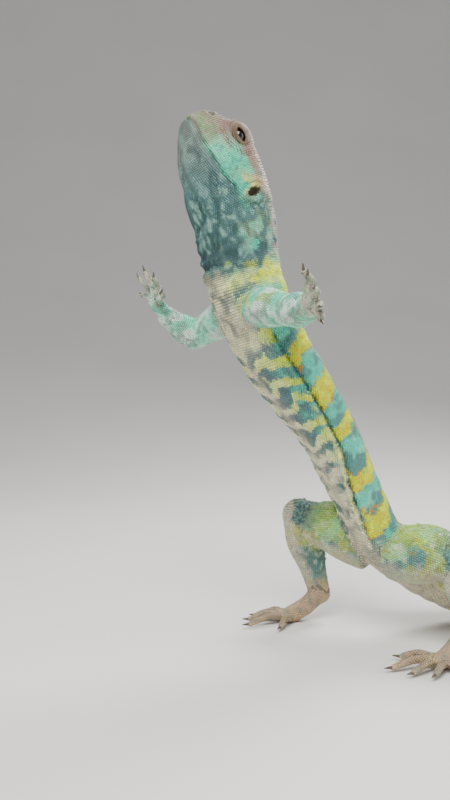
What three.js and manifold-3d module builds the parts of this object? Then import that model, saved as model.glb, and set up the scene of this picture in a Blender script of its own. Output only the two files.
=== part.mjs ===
// An ornate uromastyx, life size, reared up on its hind legs and tail with both hands held out.
// Millimetres, +Z up, floor at z = 0. Its left side faces -Y, its belly -X and its tail +X.
import * as THREE from "three";
import { mergeVertices } from "three/addons/utils/BufferGeometryUtils.js";
import Module from "manifold-3d";

const wasm = await Module();
wasm.setup();

const V = (x, y, z) => new THREE.Vector3(x, y, z);
const { lerp, clamp, smoothstep, degToRad } = THREE.MathUtils;

// Driving sizes.
const gap = 0.3; // left between nodes that meet
const pelvisHeight = 37; // middle of the pelvis above the floor
const boxMiddleX = 29.9; // from the pelvis back to the middle of the whole animal's box
const boxMiddleY = -14.7; // the same, towards its right
const headLength = 38; // nose to the joint behind the ears
const headLean = degToRad(26); // the head's axis from the vertical, towards the belly
const eyeRadius = 3.5;

// The group's origin is the bottom middle of the box, so each point measured from the pelvis moves by this.
const pelvis = V(-boxMiddleX, -boxMiddleY, pelvisHeight);
const fromPelvis = (x, y, z) => V(x, y, z).add(pelvis);
const tailOnFloor = (x, y, height) => fromPelvis(x, y, height - pelvisHeight);

const materials = {
  skin: new THREE.MeshStandardMaterial({ color: 0x6f9188, roughness: 0.75, metalness: 0 }),
  tail: new THREE.MeshStandardMaterial({ color: 0xa6a06a, roughness: 0.75, metalness: 0 }),
  limbs: new THREE.MeshStandardMaterial({ color: 0x74827a, roughness: 0.75, metalness: 0 }),
  eye: new THREE.MeshStandardMaterial({ color: 0x1b1410, roughness: 0.15, metalness: 0 }),
};

// Solids.

// A closed surface through rings that all have the same number of points, with a point at each end.
function skinOver(rings, first, last) {
  const around = rings[0].length;
  const points = [first, ...rings.flat(), last];
  const faces = [];
  const at = (ring, i) => 1 + ring * around + (i % around);
  for (let i = 0; i < around; i++) {
    faces.push(0, at(0, i), at(0, i + 1));
    for (let ring = 0; ring < rings.length - 1; ring++) {
      faces.push(at(ring, i), at(ring + 1, i), at(ring + 1, i + 1));
      faces.push(at(ring, i), at(ring + 1, i + 1), at(ring, i + 1));
    }
    faces.push(points.length - 1, at(rings.length - 1, i + 1), at(rings.length - 1, i));
  }
  const geometry = new THREE.BufferGeometry();
  geometry.setAttribute("position", new THREE.Float32BufferAttribute(points.flatMap((p) => p.toArray()), 3));
  geometry.setIndex(faces);
  return geometry;
}

function solid(geometry) {
  const bare = geometry.clone();
  bare.deleteAttribute("normal");
  bare.deleteAttribute("uv");
  const merged = mergeVertices(bare, 1e-4);
  const vertProperties = Float32Array.from(merged.attributes.position.array);
  const triVerts = Uint32Array.from(merged.index.array);
  const made = new wasm.Manifold(new wasm.Mesh({ numProp: 3, vertProperties, triVerts }));
  if (made.volume() > 0) return made;
  for (let i = 0; i < triVerts.length; i += 3) {
    [triVerts[i + 1], triVerts[i + 2]] = [triVerts[i + 2], triVerts[i + 1]];
  }
  return new wasm.Manifold(new wasm.Mesh({ numProp: 3, vertProperties, triVerts }));
}

function largestOf(shape) {
  const bodies = shape.decompose();
  bodies.sort((a, b) => b.volume() - a.volume());
  return bodies[0];
}

function meshOf(name, shape, material) {
  const { vertProperties, triVerts, numProp } = largestOf(shape).getMesh();
  const position = new Float32Array((vertProperties.length / numProp) * 3);
  for (let i = 0; i < position.length / 3; i++) {
    position.set(vertProperties.subarray(i * numProp, i * numProp + 3), i * 3);
  }
  const geometry = new THREE.BufferGeometry();
  geometry.setAttribute("position", new THREE.BufferAttribute(position, 3));
  geometry.setIndex(new THREE.BufferAttribute(triVerts, 1));
  geometry.computeVertexNormals();
  const mesh = new THREE.Mesh(geometry, material);
  mesh.name = name;
  return mesh;
}

const unionOf = (shapes) => shapes.reduce((sum, shape) => sum.add(shape));

function ball(centre, radii, along = V(0, 0, 1), up = V(1, 0, 0), detail = 12) {
  const side = along.clone().cross(up).normalize();
  const basis = new THREE.Matrix4().makeBasis(up.clone().normalize(), side, along.clone().normalize());
  const geometry = new THREE.SphereGeometry(1, detail, Math.round(detail * 0.7)).scale(...radii);
  return solid(geometry.applyMatrix4(basis).translate(...centre.toArray()));
}

// The floor's own space, which is cut from all that rests on it.
const underFloor = solid(new THREE.BoxGeometry(600, 600, 100).translate(0, 0, -50));

// Body: one line from the nose to the tip of the tail, with a section at each station.

const headBack = V(Math.sin(headLean), 0, -Math.cos(headLean)); // from the nose towards the neck
const headUp = V(Math.cos(headLean), 0, Math.sin(headLean)); // from the throat towards the crown
const nose = fromPelvis(-76, 0, 154);
const inHead = (along, up, left = 0) =>
  nose.clone().addScaledVector(headBack, along).addScaledVector(headUp, up).add(V(0, -left, 0));

// Stations behind the head: place from the pelvis, half width, depth above and below the line, and how
// square the section is (2 is an ellipse).
const bodyStations = [
  { at: inHead(headLength, -1), half: 15, above: 13.5, below: 14.5, square: 2.1 },
  { at: inHead(51, -3.6), half: 13.8, above: 11.8, below: 13, square: 2 },
  { at: fromPelvis(-53.5, 0, 92), half: 18, above: 11.5, below: 13, square: 2.2 },
  { at: fromPelvis(-43.8, 0, 72), half: 20, above: 10.8, below: 12.2, square: 2.3 },
  { at: fromPelvis(-31.8, 0, 55), half: 18.6, above: 9.8, below: 10.8, square: 2.3 },
  { at: fromPelvis(-20, 0, 37.5), half: 15.6, above: 8.8, below: 9, square: 2.3 },
  { at: fromPelvis(-10, 0, 18.5), half: 13.6, above: 8.2, below: 8, square: 2.2 },
  { at: fromPelvis(0, 0, 0), half: 13.6, above: 9, below: 9, square: 2.1 },
  { at: fromPelvis(16, 0, -10.5), half: 12.8, above: 9.4, below: 9.6, square: 2.1 },
  { at: fromPelvis(33, 1, -19.5), half: 12.4, above: 9, below: 9.4, square: 2.2 },
  { at: tailOnFloor(53, 3, 9.2), half: 11.8, above: 8.4, below: 9.4, square: 2.3 },
  { at: tailOnFloor(76, 6, 7.9), half: 10.6, above: 7.4, below: 8.1, square: 2.4 },
  { at: tailOnFloor(100, 7, 6.3), half: 8.6, above: 5.8, below: 6.5, square: 2.4 },
  { at: tailOnFloor(125, 3, 4.5), half: 5.8, above: 4.2, below: 4.7, square: 2.3 },
  { at: tailOnFloor(146, -6, 2), half: 1.9, above: 1.7, below: 2.2, square: 2 },
];
const bodyLine = new THREE.CatmullRomCurve3(bodyStations.map((s) => s.at), false, "centripetal");
const lastStation = bodyStations.length - 1;

// Where the body is parted, in stations.
const neckStart = 0;
const torsoStart = 1.6;
const tailStart = 7.9;

// A value of the stations at a place between them, on a smooth curve through the four nearest.
function stationValue(key, place) {
  const i = clamp(Math.floor(place), 0, lastStation - 1);
  const t = place - i;
  const v = (n) => bodyStations[clamp(n, 0, lastStation)][key];
  const [a, b, c, d] = [v(i - 1), v(i), v(i + 1), v(i + 2)];
  return b + 0.5 * t * (c - a + t * (2 * a - 5 * b + 4 * c - d + t * (3 * (b - c) + d - a)));
}

function bodyFrame(place) {
  const t = place / lastStation;
  const along = bodyLine.getTangent(t);
  const left = along.clone().cross(V(-along.z, 0, along.x)).normalize();
  const up = left.clone().cross(along).normalize();
  return { at: bodyLine.getPoint(t), along, left, up };
}

// One ring of the body: half an oval above its line and half an oval below, with a fold of skin low on
// each flank between the arms and the hips. grow makes the whole section larger.
const bodySides = 28;
const powered = (value, power) => Math.sign(value) * Math.abs(value) ** power;
function bodyRing(place, grow = 0, sides = bodySides) {
  const { at, left, up } = bodyFrame(place);
  const half = stationValue("half", place) + grow;
  const above = stationValue("above", place) + grow;
  const below = stationValue("below", place) + grow;
  const round = 2 / stationValue("square", place);
  const flank = smoothstep(place, 2.4, 3.2) * (1 - smoothstep(place, 6.2, 7));
  return Array.from({ length: sides }, (_, i) => {
    const angle = (2 * Math.PI * i) / sides;
    const foldAt = Math.abs(Math.atan2(Math.sin(angle), Math.abs(Math.cos(angle))) + 0.3);
    const fold = 1 + 0.05 * flank * Math.exp(-((foldAt / 0.16) ** 2));
    const across = half * powered(Math.cos(angle), round) * fold;
    const high = (Math.sin(angle) > 0 ? above : below) * powered(Math.sin(angle), round) * fold;
    return at.clone().addScaledVector(left, across).addScaledVector(up, high);
  });
}

function bodyLength(from, to, steps, grow = 0, sides = bodySides) {
  const places = Array.from({ length: steps + 1 }, (_, i) => lerp(from, to, i / steps));
  const rings = places.map((place) => bodyRing(place, grow, sides));
  return solid(skinOver(rings, bodyFrame(from).at, bodyFrame(to).at));
}

// How far along the stations half of the gap reaches at a place.
function halfGapAt(place) {
  const step = 0.01;
  const before = clamp(place - step, 0, lastStation);
  const after = clamp(place + step, 0, lastStation);
  const [a, b] = [before, after].map((p) => bodyLine.getPoint(p / lastStation));
  return (gap / 2 / a.distanceTo(b)) * (after - before);
}
const bodyPart = (from, to, steps) => bodyLength(from + halfGapAt(from), to - halfGapAt(to), steps);

// Tail: whorls of keeled scales, each ending in a ring of spines that point back. The whorls are counted
// from the hips, and the tail parts between two of them.

const whorlCount = 21;
const tailMiddleWhorl = 8;
const tailTipWhorl = 15;
const whorlStep = 0.45; // how far a whorl's back edge stands out
const tailPoint = 3; // the pointed end past the last section
const spineSpacing = 4.5; // between spines of a whorl, at the thick end
const spineRadius = 1.55; // at its root, at the thick end
const spineReach = degToRad(118); // how far a whorl's spines go from the top down each flank
const spineClear = 0.5; // kept between the last spines of one tail part and the next part
const bodyTotal = bodyLine.getLength();
const placeAt = (distance) => bodyLine.getUtoTmapping(0, distance) * lastStation;
const distanceAt = (place) => {
  let low = 0;
  let high = bodyTotal;
  for (let i = 0; i < 30; i++) {
    const middle = (low + high) / 2;
    if (placeAt(middle) < place) low = middle;
    else high = middle;
  }
  return low;
};
const tailStartDistance = distanceAt(tailStart);
const tailTotal = bodyTotal - tailStartDistance;
// The whorls grow shorter towards the tip: the share of the tail that lies before a whorl.
const whorlShare = (whorl) => 1 - (1 - whorl / whorlCount) ** 1.22;
const whorlPlace = (whorl) => placeAt(tailStartDistance + tailTotal * Math.min(whorlShare(whorl), 1));

// The same numbers each time, from 0 to 1.
function seeded(seed) {
  let state = seed;
  return () => {
    state = (state * 16807) % 2147483647;
    return state / 2147483647;
  };
}

// A spine of five sides, its root sunk under the skin.
function spine(root, direction, length, radius) {
  const sides = 5;
  const start = root.clone().addScaledVector(direction, -radius * 1.1);
  const sunk = start.clone().addScaledVector(direction, -0.2);
  const point = root.clone().addScaledVector(direction, length);
  const side = direction.clone().cross(V(0.3, 0.9, 0.2)).normalize();
  const other = direction.clone().cross(side);
  const ring = Array.from({ length: sides }, (_, i) => {
    const angle = (2 * Math.PI * i) / sides;
    return start
      .clone()
      .addScaledVector(side, radius * Math.cos(angle))
      .addScaledVector(other, radius * Math.sin(angle));
  });
  return solid(skinOver([ring], sunk, point));
}

// The spines at the back edge of one whorl: over the top and down both flanks, longest low on the flanks.
function whorlSpines(whorl, random) {
  const place = lerp(whorlPlace(whorl), whorlPlace(whorl + 1), 0.72);
  const { at, along, left, up } = bodyFrame(place);
  const half = stationValue("half", place);
  const above = stationValue("above", place);
  const below = stationValue("below", place);
  const size = lerp(0.5, 1, clamp(half / 12, 0, 1));
  const count = Math.max(4, Math.round((spineReach * (half + above)) / (spineSpacing * size)));
  return Array.from({ length: count }, (_, i) => {
    const turn = lerp(-spineReach, spineReach, (i + 0.5) / count) + (random() - 0.5) * 0.05;
    const across = Math.sin(turn);
    const high = Math.cos(turn);
    const depth = high > 0 ? above : below;
    const radial = left.clone().multiplyScalar(across * half).addScaledVector(up, high * depth);
    const outwards = left.clone().multiplyScalar(across / half).addScaledVector(up, high / above).normalize();
    const direction = outwards.multiplyScalar(0.6).addScaledVector(along, 0.8).normalize();
    const flank = Math.abs(across) ** 2;
    const length = (2.9 + 1.7 * flank) * size * (0.9 + 0.2 * random());
    return spine(at.clone().addScaledVector(radial, 0.985), direction, length, spineRadius * size);
  });
}

// A length of the tail from one whorl to another, stepped at each whorl, with its spines.
function tailPart(from, to, last) {
  const sides = 22;
  const rings = [];
  const start = whorlPlace(from) + halfGapAt(whorlPlace(from));
  const end = last ? lastStation : whorlPlace(to) - halfGapAt(whorlPlace(to));
  for (let whorl = from; whorl < to; whorl++) {
    const size = stationValue("half", whorlPlace(whorl)) / 12;
    const front = Math.max(whorlPlace(whorl), start);
    const back = Math.min(lerp(whorlPlace(whorl), whorlPlace(whorl + 1), 0.8), end);
    rings.push(bodyRing(front, 0, sides), bodyRing(back, whorlStep * size, sides));
  }
  rings.push(bodyRing(end, 0, sides));
  const tip = bodyFrame(end).at.addScaledVector(bodyFrame(end).along, last ? tailPoint : 0);
  let shape = solid(skinOver(rings, bodyFrame(start).at, tip));
  const random = seeded(41 + from);
  for (let whorl = from; whorl < to - (last ? 1 : 0); whorl++) {
    shape = unionOf([shape, ...whorlSpines(whorl, random)]);
  }
  if (!last) {
    const next = whorlPlace(to);
    shape = shape.subtract(bodyLength(next, Math.min(next + 1, lastStation), 4, spineClear));
  }
  return shape.subtract(underFloor);
}

// Head.

// Profile of the head by distance from the nose: crown and throat from the nose's own level, half width,
// and the level of the widest place. The last row is the neck's first section.
const headRows = [
  { along: 0.5, crown: 4.6, throat: -3.4, half: 4.6 },
  { along: 2.2, crown: 7.2, throat: -5.4, half: 7 },
  { along: 5, crown: 9.8, throat: -7.4, half: 9 },
  { along: 9, crown: 12.6, throat: -9.4, half: 11 },
  { along: 13, crown: 15, throat: -11, half: 12.6 },
  { along: 18, crown: 16, throat: -12.4, half: 13.8 },
  { along: 24, crown: 15.6, throat: -13.8, half: 15.2 },
  { along: 30, crown: 14.4, throat: -14.8, half: 16.4 },
  { along: 34, crown: 13.4, throat: -15.2, half: 16.2 },
  { along: headLength, crown: 12.5, throat: -15.5, half: 15 },
];
const headSides = 36;
const mouthLevel = (along) => -2.6 - 1.6 * smoothstep(along, 0, 12) + 1.2 * smoothstep(along, 24, 32);

// A ring of the head: an oval about its widest level, with a brow over the eye, a flatter crown, a full
// cheek behind the mouth, and lips that stand a little proud beside the mouth. grow makes it larger.
function headRing(row, grow = 0) {
  const middle = lerp(row.crown, row.throat, 0.5);
  return Array.from({ length: headSides }, (_, i) => {
    const angle = (2 * Math.PI * i) / headSides;
    const side = Math.cos(angle);
    const rise = Math.sin(angle);
    const depth = rise > 0 ? row.crown - middle : middle - row.throat;
    const square = rise > 0 ? 2.5 : 2.1;
    let across = (row.half + grow) * powered(side, 2 / square);
    let up = middle + (depth + grow) * powered(rise, 2 / square);
    const near = (value, centre, spread) => Math.exp(-(((value - centre) / spread) ** 2));
    const brow = near(row.along, 13, 4.5) * near(rise, 0.72, 0.22);
    across *= 1 + 0.09 * brow - 0.05 * near(row.along, 9, 3) * near(rise, 0.35, 0.25);
    up += 0.9 * brow;
    const lip = near(up, mouthLevel(row.along), 2.2) * (1 - smoothstep(row.along, 28, 33));
    across *= 1 + 0.035 * lip;
    return inHead(row.along, up, across);
  });
}
function headShape(grow) {
  const rings = headRows.slice(0, -1).map((row) => headRing(row, grow));
  const neckRing = bodyRing(neckStart, grow, headSides);
  const shift = headBack.clone().multiplyScalar(-gap / 2);
  rings.push(neckRing.map((p) => p.add(shift)));
  const middleLevel = lerp(headRows[0].crown, headRows[0].throat, 0.5);
  return solid(skinOver(rings, inHead(-0.3 - grow, middleLevel), bodyFrame(neckStart).at.add(shift)));
}

// The mouth line: a thin curved sheet at the mouth's level that cuts the outer skin only.
const mouthDepth = 0.9;
const mouthWidth = 0.7;
const mouthCorner = 31; // its corner, back from the nose
function mouthGroove() {
  const wide = 22; // past the cheek on each side
  const ahead = -3; // past the nose
  const rings = Array.from({ length: 9 }, (_, i) => {
    const along = lerp(ahead, mouthCorner, i / 8);
    const top = mouthLevel(Math.max(along, 0)) + mouthWidth / 2;
    const bottom = top - mouthWidth;
    const right = [inHead(along, bottom, -wide), inHead(along, top, -wide)];
    return [inHead(along, top, wide), inHead(along, bottom, wide), ...right];
  });
  const corner = inHead(mouthCorner, mouthLevel(mouthCorner));
  const sheet = solid(skinOver(rings, inHead(ahead, mouthLevel(0)), corner));
  return sheet.subtract(headShape(-mouthDepth));
}

// The eye, its lids and their opening, the ear and the nostril: each is an egg with its middle back from
// the nose, up and out, and its radii upwards, outwards and backwards.
const eye = { back: 14.2, up: 8.8, out: 9.1, radii: [eyeRadius, eyeRadius, eyeRadius], detail: 12 };
const eyeSocket = { ...eye, radii: eye.radii.map((r) => r + gap), detail: 14 };
const lids = { ...eye, out: 9.3, radii: [4.4, 4.5, 5.6], detail: 16 };
const lidOpening = { ...eye, out: 13.5, radii: [1.7, 3, 3.2], detail: 14 };
const ear = { back: 33.2, up: 3.4, out: 15.9, radii: [2.6, 1.5, 1.5], detail: 10 };
const nostril = { back: 2.6, up: 4.2, out: 6, radii: [0.8, 1.1, 0.9], detail: 8 };
const egg = ({ back, up, out, radii, detail }, side) =>
  ball(inHead(back, up, out * side), radii, headBack, headUp, detail);

function head() {
  let shape = headShape(0);
  for (const side of [1, -1]) {
    shape = shape.add(egg(lids, side));
    for (const hollow of [eyeSocket, lidOpening, ear, nostril]) shape = shape.subtract(egg(hollow, side));
  }
  return shape.subtract(mouthGroove());
}

// Limbs.

// Rings of n points along a smooth line, each square to it, flattened by the ratio flat towards up.
function tubeRings(line, radiusAt, from, to, steps, sides, up, flat = 1) {
  return Array.from({ length: steps + 1 }, (_, i) => {
    const t = lerp(from, to, i / Math.max(steps, 1));
    const along = line.getTangentAt(t);
    const across = along.clone().cross(up).normalize();
    const high = across.clone().cross(along).normalize();
    const at = line.getPointAt(t);
    const radius = radiusAt(t);
    return Array.from({ length: sides }, (_, j) => {
      const angle = (2 * Math.PI * j) / sides;
      return at
        .clone()
        .addScaledVector(across, radius * Math.cos(angle))
        .addScaledVector(high, radius * flat * Math.sin(angle));
    });
  });
}
function tube(line, radiusAt, from, to, steps, sides, up, flat) {
  const rings = tubeRings(line, radiusAt, from, to, steps, sides, up, flat);
  return solid(skinOver(rings, line.getPointAt(from), line.getPointAt(to)));
}

// A number that runs smoothly through equally spaced values as t goes from 0 to 1.
function through(values, t) {
  const x = clamp(t, 0, 1) * (values.length - 1);
  const i = Math.min(Math.floor(x), values.length - 2);
  return lerp(values[i], values[i + 1], smoothstep(x - i, 0, 1));
}

// A toe or finger: one bent tapering tube with a knuckle, whose last part is a claw that curves down.
function digit({ root, towards, length, radius, up, drop }) {
  const tip = root.clone().addScaledVector(towards, length).addScaledVector(up, -drop);
  const knuckle = root.clone().lerp(tip, 0.5).addScaledVector(up, radius * 0.9);
  const clawBend = tip.clone().addScaledVector(towards, radius * 0.9).addScaledVector(up, radius * 0.25);
  const clawTip = tip.clone().addScaledVector(towards, radius * 2.3).addScaledVector(up, -radius * 0.5);
  const inPad = root.clone().addScaledVector(towards, -2.5);
  const bends = [inPad, root, knuckle, tip, clawBend, clawTip];
  const line = new THREE.CatmullRomCurve3(bends, false, "centripetal");
  const clawFrom = 1 - (radius * 2.6) / line.getLength();
  const radiusAt = (t) =>
    t < clawFrom ? radius * (1 - 0.25 * t) : radius * lerp(0.58, 0.14, (t - clawFrom) / (1 - clawFrom));
  const shares = [0, 0.3, 0.5, 0.7, clawFrom - 0.02, clawFrom, (1 + clawFrom) / 2, 1];
  const rings = shares.flatMap((share) => tubeRings(line, radiusAt, share, share, 0, 6, up));
  return solid(skinOver(rings, inPad, line.getPointAt(1)));
}

// All the space on one side of a plane, from half the gap beyond it.
function beyond(at, normal) {
  const size = 300;
  const box = new THREE.BoxGeometry(size, size, size).translate(0, 0, (size + gap) / 2);
  box.applyQuaternion(new THREE.Quaternion().setFromUnitVectors(V(0, 0, 1), normal));
  return solid(box.translate(...at.toArray()));
}
const halfway = (a, b, c) => b.clone().sub(a).normalize().add(c.clone().sub(b).normalize()).normalize();

// One length of a limb, with a round joint at its far end.
function limbLength(from, to, radii, up) {
  const along = to.clone().sub(from).normalize();
  const radiusAt = (t) => through(radii, t);
  const joint = radii[radii.length - 1];
  const length = tube(new THREE.LineCurve3(from, to), radiusAt, 0, 1, 5, 12, up);
  return length.add(ball(to, [joint, joint, joint], along, up, 10));
}

// One limb from inside the body: two lengths and the paw, parted on the planes that halve the bends.
function limb({ root, joint, end, paw, upperRadii, lowerRadii, up }) {
  const upper = limbLength(root, joint, upperRadii, up);
  const knob = upperRadii[upperRadii.length - 1];
  const knee = ball(joint, [knob, knob, knob], V(0, 0, 1), V(1, 0, 0), 10);
  const lower = limbLength(joint, end, lowerRadii, up).add(knee);
  const bend = halfway(root, joint, end);
  const wrist = halfway(joint, end, paw.middle);
  return {
    upper: upper.intersect(beyond(joint, bend.clone().negate())).subtract(trunkWithGap),
    lower: lower.intersect(beyond(joint, bend)).intersect(beyond(end, wrist.clone().negate())),
    paw: pawShape({ ...paw, start: end }).intersect(beyond(end, wrist)),
  };
}

// The body a little larger, which is cut from each limb's root.
const trunkWithGap = bodyLength(1, 9.5, 34, gap, 30);

// Arms and legs: radii down the upper and the lower length. Hands and feet: radius at the wrist, how flat
// the palm is, then for each digit, the inner one first, its turn from straight ahead and its length, and
// for all of them the radius and how far the tip hangs below the root.
const armRadii = { upperRadii: [7, 6.9, 6, 5.2], lowerRadii: [5.2, 5.6, 4.5, 3.8] };
const legRadii = { upperRadii: [10.4, 10, 8.4, 7], lowerRadii: [7, 7.6, 5.6, 4.6] };
const hand = {
  radius: 3.8,
  flat: 0.5,
  spread: [-62, -30, 0, 30, 64],
  lengths: [7, 10, 11.5, 11, 7.5],
  digitRadius: 1.35,
  drop: 0.4,
};
const foot = {
  radius: 4.6,
  flat: 0.62,
  spread: [-38, -16, 2, 20, 58],
  lengths: [8.5, 12.5, 16, 18.5, 12],
  digitRadius: 1.55,
  drop: 1.1,
};

// A hand or foot: a flattened pad that goes on from the limb, and five clawed digits fanned round it.
// inner is 1 where the digits turn inwards about palmUp, the way the back of the hand or foot faces.
function pawShape({ start, startUp, middle, end, palmUp, inner, ...paw }) {
  const { radius, flat, spread, lengths, digitRadius, drop } = paw;
  const line = new THREE.CatmullRomCurve3([start, middle, end], false, "centripetal");
  const width = (t) => lerp(radius, digitRadius * 3.1, smoothstep(t, 0, 0.8));
  const steps = 5;
  const rings = tubeRings(line, width, 0, 1, steps, 12, startUp, 1).map((ring, i) => {
    const t = i / steps;
    const centre = line.getPointAt(t);
    const squash = lerp(1, flat, smoothstep(t, 0, 0.7));
    return ring.map((p) => {
      const away = p.clone().sub(centre);
      return p.addScaledVector(palmUp, away.dot(palmUp) * (squash - 1));
    });
  });
  const forward = line.getTangentAt(1).projectOnPlane(palmUp).normalize();
  // The pad's front is rounded by one more, smaller ring.
  const front = end.clone().addScaledVector(forward, digitRadius * 1.4);
  rings.push(rings[steps].map((p) => p.clone().sub(end).multiplyScalar(0.72).add(front)));
  const pad = solid(skinOver(rings, start, front.clone().addScaledVector(forward, digitRadius * 0.5)));
  const across = forward.clone().cross(palmUp).multiplyScalar(-inner);
  const digits = spread.map((degrees, i) => {
    const towards = forward.clone().applyAxisAngle(palmUp, degToRad(degrees * inner));
    const place = (i - (spread.length - 1) / 2) * digitRadius * 1.05;
    const root = end.clone().addScaledVector(across, place).addScaledVector(towards, digitRadius);
    return digit({ root, towards, length: lengths[i], radius: digitRadius, up: palmUp, drop });
  });
  return unionOf([pad, ball(start, [radius, radius, radius], V(0, 0, 1), V(1, 0, 0), 8), ...digits]);
}

// side is 1 for the animal's left, which faces -Y, and -1 for its right. opened is 1 where the fingers are
// fanned in full and less where they lie closer.
function arm(side, shoulder, elbow, wrist, knuckles, palmUp, opened) {
  const up = V(1, 0, 0.2);
  const middle = wrist.clone().lerp(knuckles, 0.5);
  const spread = hand.spread.map((degrees) => degrees * opened);
  palmUp.normalize();
  const paw = { ...hand, spread, startUp: up, middle, end: knuckles, palmUp, inner: side };
  return limb({ root: shoulder, joint: elbow, end: wrist, paw, ...armRadii, up });
}

function leg(side, hip, knee, ankle, ballOfFoot) {
  const up = V(0.3, 0, 1);
  const instep = ankle.clone().lerp(ballOfFoot, 0.45).add(V(0, 0, -1.4));
  const paw = { ...foot, startUp: up, middle: instep, end: ballOfFoot, palmUp: V(0, 0, 1), inner: -side };
  const { upper, lower, paw: sole } = limb({ root: hip, joint: knee, end: ankle, paw, ...legRadii, up });
  return { upper, lower: lower.subtract(underFloor), paw: sole.subtract(underFloor) };
}

// The animal, put together.

const uromastyx = new THREE.Group();
const add = (name, shape, material) => uromastyx.add(meshOf(name, shape, material));

add("head", head(), materials.skin);
add("eye_left", egg(eye, 1), materials.eye);
add("eye_right", egg(eye, -1), materials.eye);
add("neck", bodyPart(neckStart, torsoStart, 7), materials.skin);
add("torso", bodyPart(torsoStart, tailStart, 24), materials.skin);
add("tail_base", tailPart(0, tailMiddleWhorl, false), materials.tail);
add("tail_middle", tailPart(tailMiddleWhorl, tailTipWhorl, false), materials.tail);
add("tail_tip", tailPart(tailTipWhorl, whorlCount, true), materials.tail);

const leftArm = arm(
  1,
  fromPelvis(-56, -10, 87),
  fromPelvis(-53.1, -35.7, 82.5),
  fromPelvis(-55.6, -53.2, 81.4),
  fromPelvis(-58.3, -60.4, 82.6),
  V(0.9, -0.3, 0.3),
  0.62,
);
const rightArm = arm(
  -1,
  fromPelvis(-56, 10, 87),
  fromPelvis(-65, 30, 79),
  fromPelvis(-77, 27, 86),
  fromPelvis(-82, 26, 91),
  V(0.9, 0.1, 0.35),
  1,
);
const leftLeg = leg(
  1,
  fromPelvis(1, -7, -3),
  fromPelvis(17, -32, -3),
  fromPelvis(15, -34.5, -26),
  fromPelvis(3, -38.5, 2.7 - pelvisHeight),
);
const rightLeg = leg(
  -1,
  fromPelvis(1, 7, -3),
  fromPelvis(-20, 31, 7),
  fromPelvis(-11, 30, -25.5),
  fromPelvis(-23.5, 32.5, 2.7 - pelvisHeight),
);
for (const [side, armParts, legParts] of [
  ["left", leftArm, leftLeg],
  ["right", rightArm, rightLeg],
]) {
  add("upper_arm_" + side, armParts.upper, materials.limbs);
  add("forearm_" + side, armParts.lower, materials.limbs);
  add("hand_" + side, armParts.paw, materials.limbs);
  add("thigh_" + side, legParts.upper, materials.limbs);
  add("shin_" + side, legParts.lower, materials.limbs);
  add("foot_" + side, legParts.paw, materials.limbs);
}

export default uromastyx;
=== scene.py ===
"""An ornate uromastyx, life size, reared up on its hind legs and tail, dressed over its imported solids."""

import bpy
import numpy as np
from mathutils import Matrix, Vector


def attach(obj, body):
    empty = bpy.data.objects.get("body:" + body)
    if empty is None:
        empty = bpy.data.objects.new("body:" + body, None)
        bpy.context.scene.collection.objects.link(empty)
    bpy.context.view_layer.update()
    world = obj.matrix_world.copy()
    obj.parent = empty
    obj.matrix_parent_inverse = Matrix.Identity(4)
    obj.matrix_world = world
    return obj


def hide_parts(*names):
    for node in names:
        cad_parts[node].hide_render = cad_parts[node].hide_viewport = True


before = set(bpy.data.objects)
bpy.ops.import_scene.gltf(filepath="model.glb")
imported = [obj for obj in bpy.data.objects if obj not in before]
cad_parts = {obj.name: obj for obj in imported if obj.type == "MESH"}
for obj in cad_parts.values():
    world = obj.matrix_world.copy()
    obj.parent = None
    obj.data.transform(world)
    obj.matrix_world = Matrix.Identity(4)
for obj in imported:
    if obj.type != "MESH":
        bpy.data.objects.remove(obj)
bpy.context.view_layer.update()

# Camera. It stands a hand's breadth above the floor, nearly 30 cm off the animal's left shoulder and a
# little towards its belly, and looks level, so that the near flank, the throat and part of the chest show.
MM = 0.001
CAMERA_AT = np.array([-189.0, -254.6, 90.5])
CAMERA_TURN = np.radians(19.6)
CAMERA_PITCH = np.radians(0.1)
IMAGE_HEIGHT = 800
FOCAL_PIXELS = 800
FORWARDS = np.array([np.sin(CAMERA_TURN), np.cos(CAMERA_TURN), 0.0])


def put(name, data):
    """A new object at the origin, linked to the scene."""
    obj = bpy.data.objects.new(name, data)
    bpy.context.scene.collection.objects.link(obj)
    return obj


def facing(direction):
    """The turn of a camera or lamp that looks along a direction, with its top upwards."""
    return Vector(direction).to_track_quat("-Z", "Y").to_euler()


camera_data = bpy.data.cameras.new("camera")
camera_data.sensor_fit = "VERTICAL"
camera_data.sensor_height = 24.0
camera_data.lens = camera_data.sensor_height * FOCAL_PIXELS / IMAGE_HEIGHT
camera_data.clip_start = 0.01
camera = put("camera", camera_data)
camera.location = CAMERA_AT * MM
camera.rotation_euler = facing([*FORWARDS[:2] * np.cos(CAMERA_PITCH), np.sin(CAMERA_PITCH)])
bpy.context.scene.camera = camera

# Body line. The spine's bends, from the back of the head to the tip of the tail: each station has its place
# from the pelvis, half width, depth above and below the line, and squareness. All are in millimetres.
PELVIS = np.array([-29.9, 14.7, 37.0])
HEAD_LEAN = np.radians(26.0)
HEAD_LENGTH = 38.0
HEAD_BACK = np.array([np.sin(HEAD_LEAN), 0.0, -np.cos(HEAD_LEAN)])
HEAD_UP = np.array([np.cos(HEAD_LEAN), 0.0, np.sin(HEAD_LEAN)])
HEAD_LEFT = np.array([0.0, -1.0, 0.0])
NOSE = PELVIS + [-76.0, 0.0, 154.0]


def in_head(along, up, left=0.0):
    """A place in the head: the nose, plus steps back along the head, up to the crown and out to its left."""
    along, up, left = np.broadcast_arrays(*(np.asarray(v, float) for v in (along, up, left)))
    return NOSE + along[..., None] * HEAD_BACK + up[..., None] * HEAD_UP + left[..., None] * HEAD_LEFT


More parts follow.
